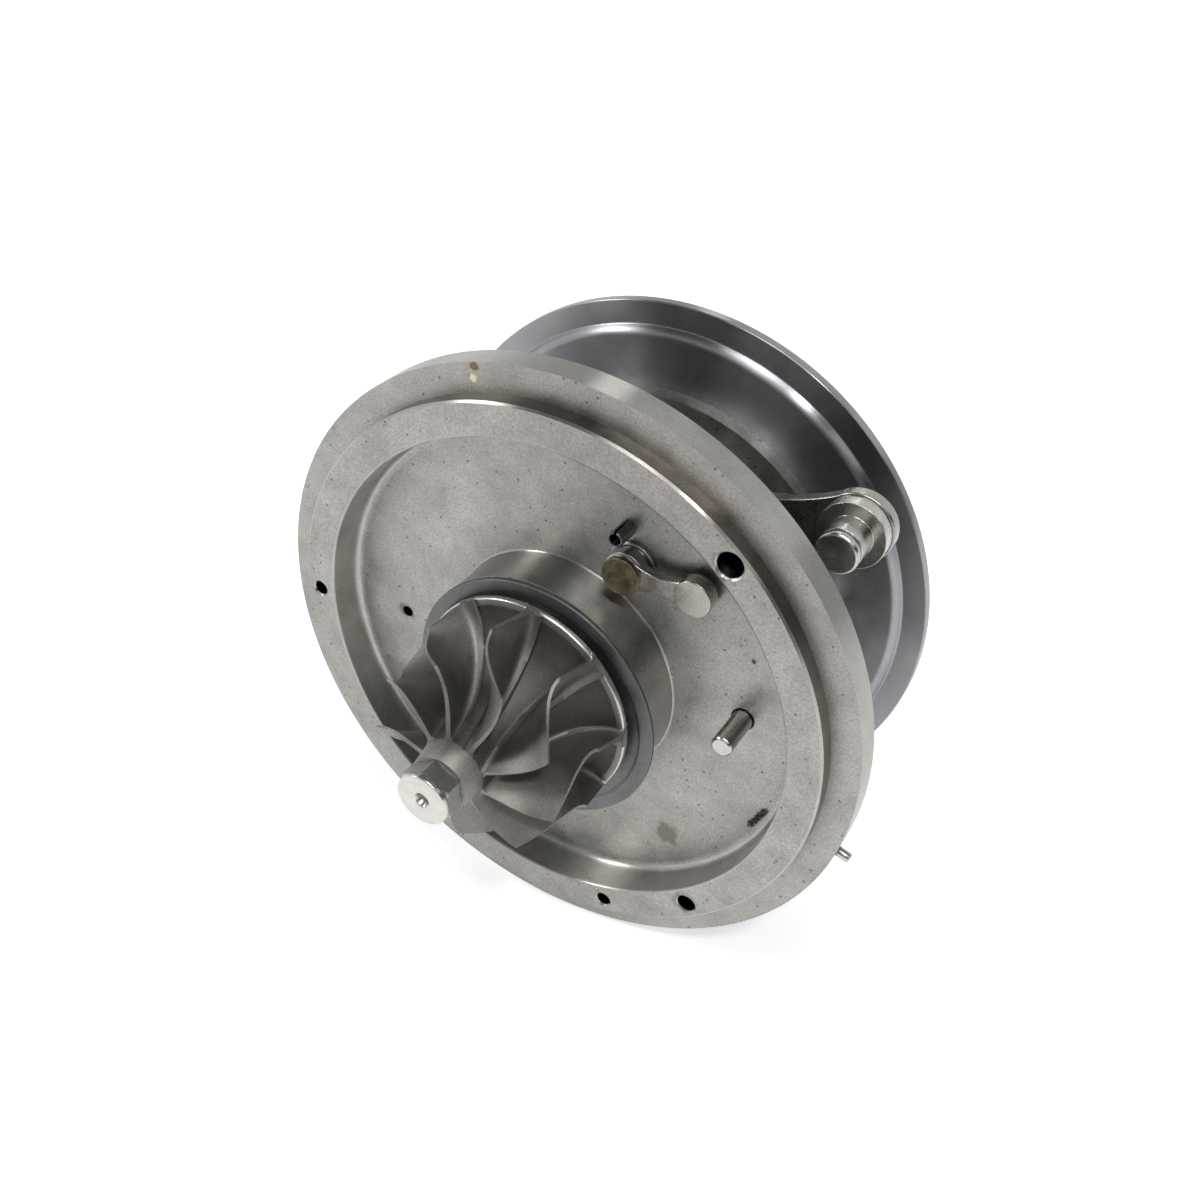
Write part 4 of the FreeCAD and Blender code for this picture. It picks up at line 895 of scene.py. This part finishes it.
back_plate = turned("back_plate_turned", [
    (PLATE_BORE_R, PLATE_BORE_FRONT), (PLATE_SPIGOT_R, PLATE_BORE_FRONT),
    (PLATE_SPIGOT_R, PLATE_SPIGOT_FRONT), (THRUST_BORE_R, PLATE_SPIGOT_FRONT),
    (THRUST_BORE_R, HOUSING_REAR), (50.2, HOUSING_REAR), (51.1, 44.75), (51.75, 45.4),
    (52.1, PLATE_RIM_FRONT), (PLATE_RIM_R, PLATE_RIM_FRONT), (PLATE_RIM_R, PLATE_RIM_BACK),
    (PILOT_R, PLATE_RIM_BACK), (PILOT_R, GROOVE_FRONT), (PILOT_R - GROOVE_DEPTH, GROOVE_FRONT),
    (PILOT_R - GROOVE_DEPTH, GROOVE_BACK), (PILOT_R, GROOVE_BACK), (PILOT_R, DIFFUSER_FACE),
    (RECESS_R, DIFFUSER_FACE), (RECESS_R, RECESS_FLOOR), (PLATE_BORE_R, RECESS_FLOOR),
    (PLATE_BORE_R, PLATE_BORE_FRONT)], steps=192)
deburr(back_plate, 0.25)
wear_material(back_plate, polished_iron)
stands_for(back_plate, "back_plate", "housing")

put_down()
bpy.ops.mesh.primitive_torus_add(major_segments=160, minor_segments=16, major_radius=RIM_SEAL_R * MM,
                                 minor_radius=RIM_SEAL_CORD_R * MM, rotation=(math.pi / 2, 0, 0))
rim_seal = bpy.context.object
rim_seal.name = "rim_seal_ring"
rim_seal.location = Vector((0, RIM_SEAL_Y, 0)) * MM
bpy.ops.object.transform_apply(location=True, rotation=True, scale=True)
bpy.ops.object.shade_smooth()
wear_material(rim_seal, seal_rubber)
stands_for(rim_seal, "compressor_housing_o_ring", "housing")

screws = []
for i in range(SCREWS):
    at = polar(SCREW_CIRCLE, SCREW_ANGLE + 360.0 * i / SCREWS)
    head = hexagon("screw_head", SCREW_FLATS, SCREW_TOP, SCREW_SEAT, at)
    shank = turned("screw_shank", [
        (0, SCREW_SEAT - 0.3), (6.2, SCREW_SEAT), (6.2, REAR_FLANGE_FRONT), (3.0, REAR_FLANGE_FRONT),
        (3.0, 49.5), (0, 49.5)], at, 48)
    screws += [deburr(head, 0.15), deburr(shank, 0.1)]
screws = one_mesh(screws)
screws.name = "back_plate_hex_screws"
wear_material(screws, plated_steel)
stands_for(screws, "back_plate_screws", "housing")

# Compressor wheel and its nut

impeller_hub = ((IMPELLER_R, IMPELLER_BACK + 1.3), (IMPELLER_NOSE_R, IMPELLER_NOSE - 2))
impeller_shroud = ((IMPELLER_R, IMPELLER_BACK + 4.3), (18.3, 68.5))


def impeller_twist(at):
    """The same two angles for a compressor blade: swept back at the rim and leaning at the inlet."""
    turn = math.radians(at)
    swept = 34.0 * max(0.0, 1 - math.cos(turn)) ** 1.6 + 26.0 * (1 - math.sin(turn)) ** 2
    return swept, swept * 1.1


impeller = turned("impeller_casting", [
    (STUB_R, IMPELLER_BACK), (IMPELLER_R, IMPELLER_BACK), *hub_outline(impeller_hub),
    (IMPELLER_NOSE_R, IMPELLER_NOSE), (STUB_R, IMPELLER_NOSE), (STUB_R, IMPELLER_BACK)])
full_blade = cast_blade("impeller_blade", impeller_hub, impeller_shroud, thickness=(1.1, 0.6, 0.3),
                        fillet=(0.7, 0.35), twist=impeller_twist, bow=0.0, reach=90.0, chords=24,
                        spans=14)
split_blade = cast_blade("impeller_splitter", impeller_hub, impeller_shroud, thickness=(1.1, 0.6, 0.3),
                         fillet=(0.7, 0.4), twist=impeller_twist, bow=0.0, reach=58.0, chords=18,
                         spans=12)
vanes = one_mesh(copies_around(full_blade, IMPELLER_BLADES, 0.0)
                 + copies_around(split_blade, IMPELLER_BLADES, 180.0 / IMPELLER_BLADES))
work_with(impeller, [vanes], "UNION")
work_with(impeller, [
    bar(IMPELLER_R, Vector((0, IMPELLER_BACK - 1, 0)), Vector((0, IMPELLER_NOSE + 1, 0)), 160)],
          "INTERSECT")
wear_material(impeller, cast_aluminium, milled_aluminium)
pick_up(impeller)
bpy.ops.object.shade_smooth_by_angle(angle=math.radians(60))
stands_for(impeller, "compressor_wheel", "rotor")

nut = turned("nut_flange", [
    (STUB_R, IMPELLER_NOSE), (NUT_FLANGE_R, IMPELLER_NOSE), (NUT_FLANGE_R, IMPELLER_NOSE + 1.3),
    (STUB_R, IMPELLER_NOSE + 1.3), (STUB_R, IMPELLER_NOSE)], steps=64)
deburr(nut, 0.2)
nut_hexagon = hexagon("nut_hexagon", NUT_FLATS, IMPELLER_NOSE + 1.2, NUT_END)
work_with(nut_hexagon, [bar(STUB_R, Vector((0, 70, 0)), Vector((0, 80, 0)))], "DIFFERENCE")
deburr(nut_hexagon, 0.12)
nut = one_mesh([nut, nut_hexagon])
nut.name = "shaft_nut_hexagon"
wear_material(nut, dark_steel)
stands_for(nut, "shaft_nut", "rotor")

# Pale floor, white surroundings and soft studio light

FLOOR_Z = -FLANGE_R
ROOM, CLOTH, WALL_TOP = 900, 5, 480


def shows_white(tree):
    """1 where the camera sees a surface, straight, mirrored or through glass."""
    seen = add(tree, "LightPath")
    mirrored = add(tree, "Math", {0: seen.outputs["Is Camera Ray"], 1: seen.outputs["Is Glossy Ray"]},
                   operation="MAXIMUM")
    white = add(tree, "Math", {0: mirrored.outputs["Value"], 1: seen.outputs["Is Transmission Ray"]},
                operation="MAXIMUM")
    return white.outputs["Value"]


put_down()
bpy.ops.mesh.primitive_plane_add(size=8.0, location=(0, 0, FLOOR_Z * MM - 0.0002))
floor = bpy.context.object
floor.name = "studio_floor"
paper, tree = new_material("white_paper")
matt = add(tree, "BsdfDiffuse", {"Color": linear("#f4f4f4")})
lifted = add(tree, "Emission", {"Color": linear("#ffffff"), "Strength": 0.5})
both = add(tree, "AddShader", {0: matt.outputs["BSDF"], 1: lifted.outputs["Emission"]})
shown = add(tree, "MixShader", {0: shows_white(tree), 1: matt.outputs["BSDF"],
                                2: both.outputs["Shader"]})
add(tree, "OutputMaterial", {"Surface": shown.outputs["Shader"]})
floor.data.materials.append(paper)

world = bpy.data.worlds.new("white_studio")
world.use_nodes = True
tree = world.node_tree
tree.nodes.clear()
strength = add(tree, "MapRange", {"Value": shows_white(tree), "To Min": 0.9, "To Max": 1.0})
sky = add(tree, "Background", {"Color": linear("#ffffff"), "Strength": strength.outputs["Result"]})
add(tree, "OutputWorld", {"Surface": sky.outputs["Background"]})
bpy.context.scene.world = world


def softbox(name, place, power, size, target=Vector((0, 0.02, 0))):
    """Square diffused lamp that looks at the cartridge, or at another target."""
    lamp = bpy.data.lights.new(name, "AREA")
    lamp.shape = "SQUARE"
    lamp.size = size
    lamp.energy = power
    holder = bpy.data.objects.new(name, lamp)
    holder.location = place
    holder.rotation_euler = (target - place).to_track_quat("-Z", "Y").to_euler()
    holder.visible_camera = False
    bpy.context.scene.collection.objects.link(holder)


softbox("window_left", Vector((-0.64, -0.38, 0.54)), 2.2, 0.18)
softbox("ceiling_tube", Vector((0.4, -0.38, 0.72)), 2.4, 0.09)
softbox("back_tube", Vector((-0.24, 0.75, 0.68)), 0.35, 0.14)
softbox("floor_softbox", Vector((0.07, -0.11, 0.4)), 0.7, 0.16, Vector((0.04, -0.08, -0.06)))


def flag(name, low, high):
    """Dark cloth out of the picture, which the polished metal mirrors as the room around it."""
    cloth = block(low, high)
    cloth.name = name
    cloth.data.materials.append(dark_cloth)
    cloth.visible_camera = False


dark_cloth, tree = new_material("dark_cloth")
weave = add(tree, "BsdfDiffuse", {"Color": linear("#606060")})
add(tree, "OutputMaterial", {"Surface": weave.outputs["BSDF"]})
flag("ceiling_flag", Vector((-ROOM, -ROOM, ROOM)), Vector((ROOM, ROOM, ROOM + CLOTH)))
flag("camera_side_flag", Vector((-ROOM, -ROOM - CLOTH, 0)), Vector((ROOM, -ROOM, WALL_TOP)))
flag("right_side_flag", Vector((ROOM, -ROOM, 0)), Vector((ROOM + CLOTH, ROOM, WALL_TOP)))

bpy.context.scene.view_settings.view_transform = "Standard"
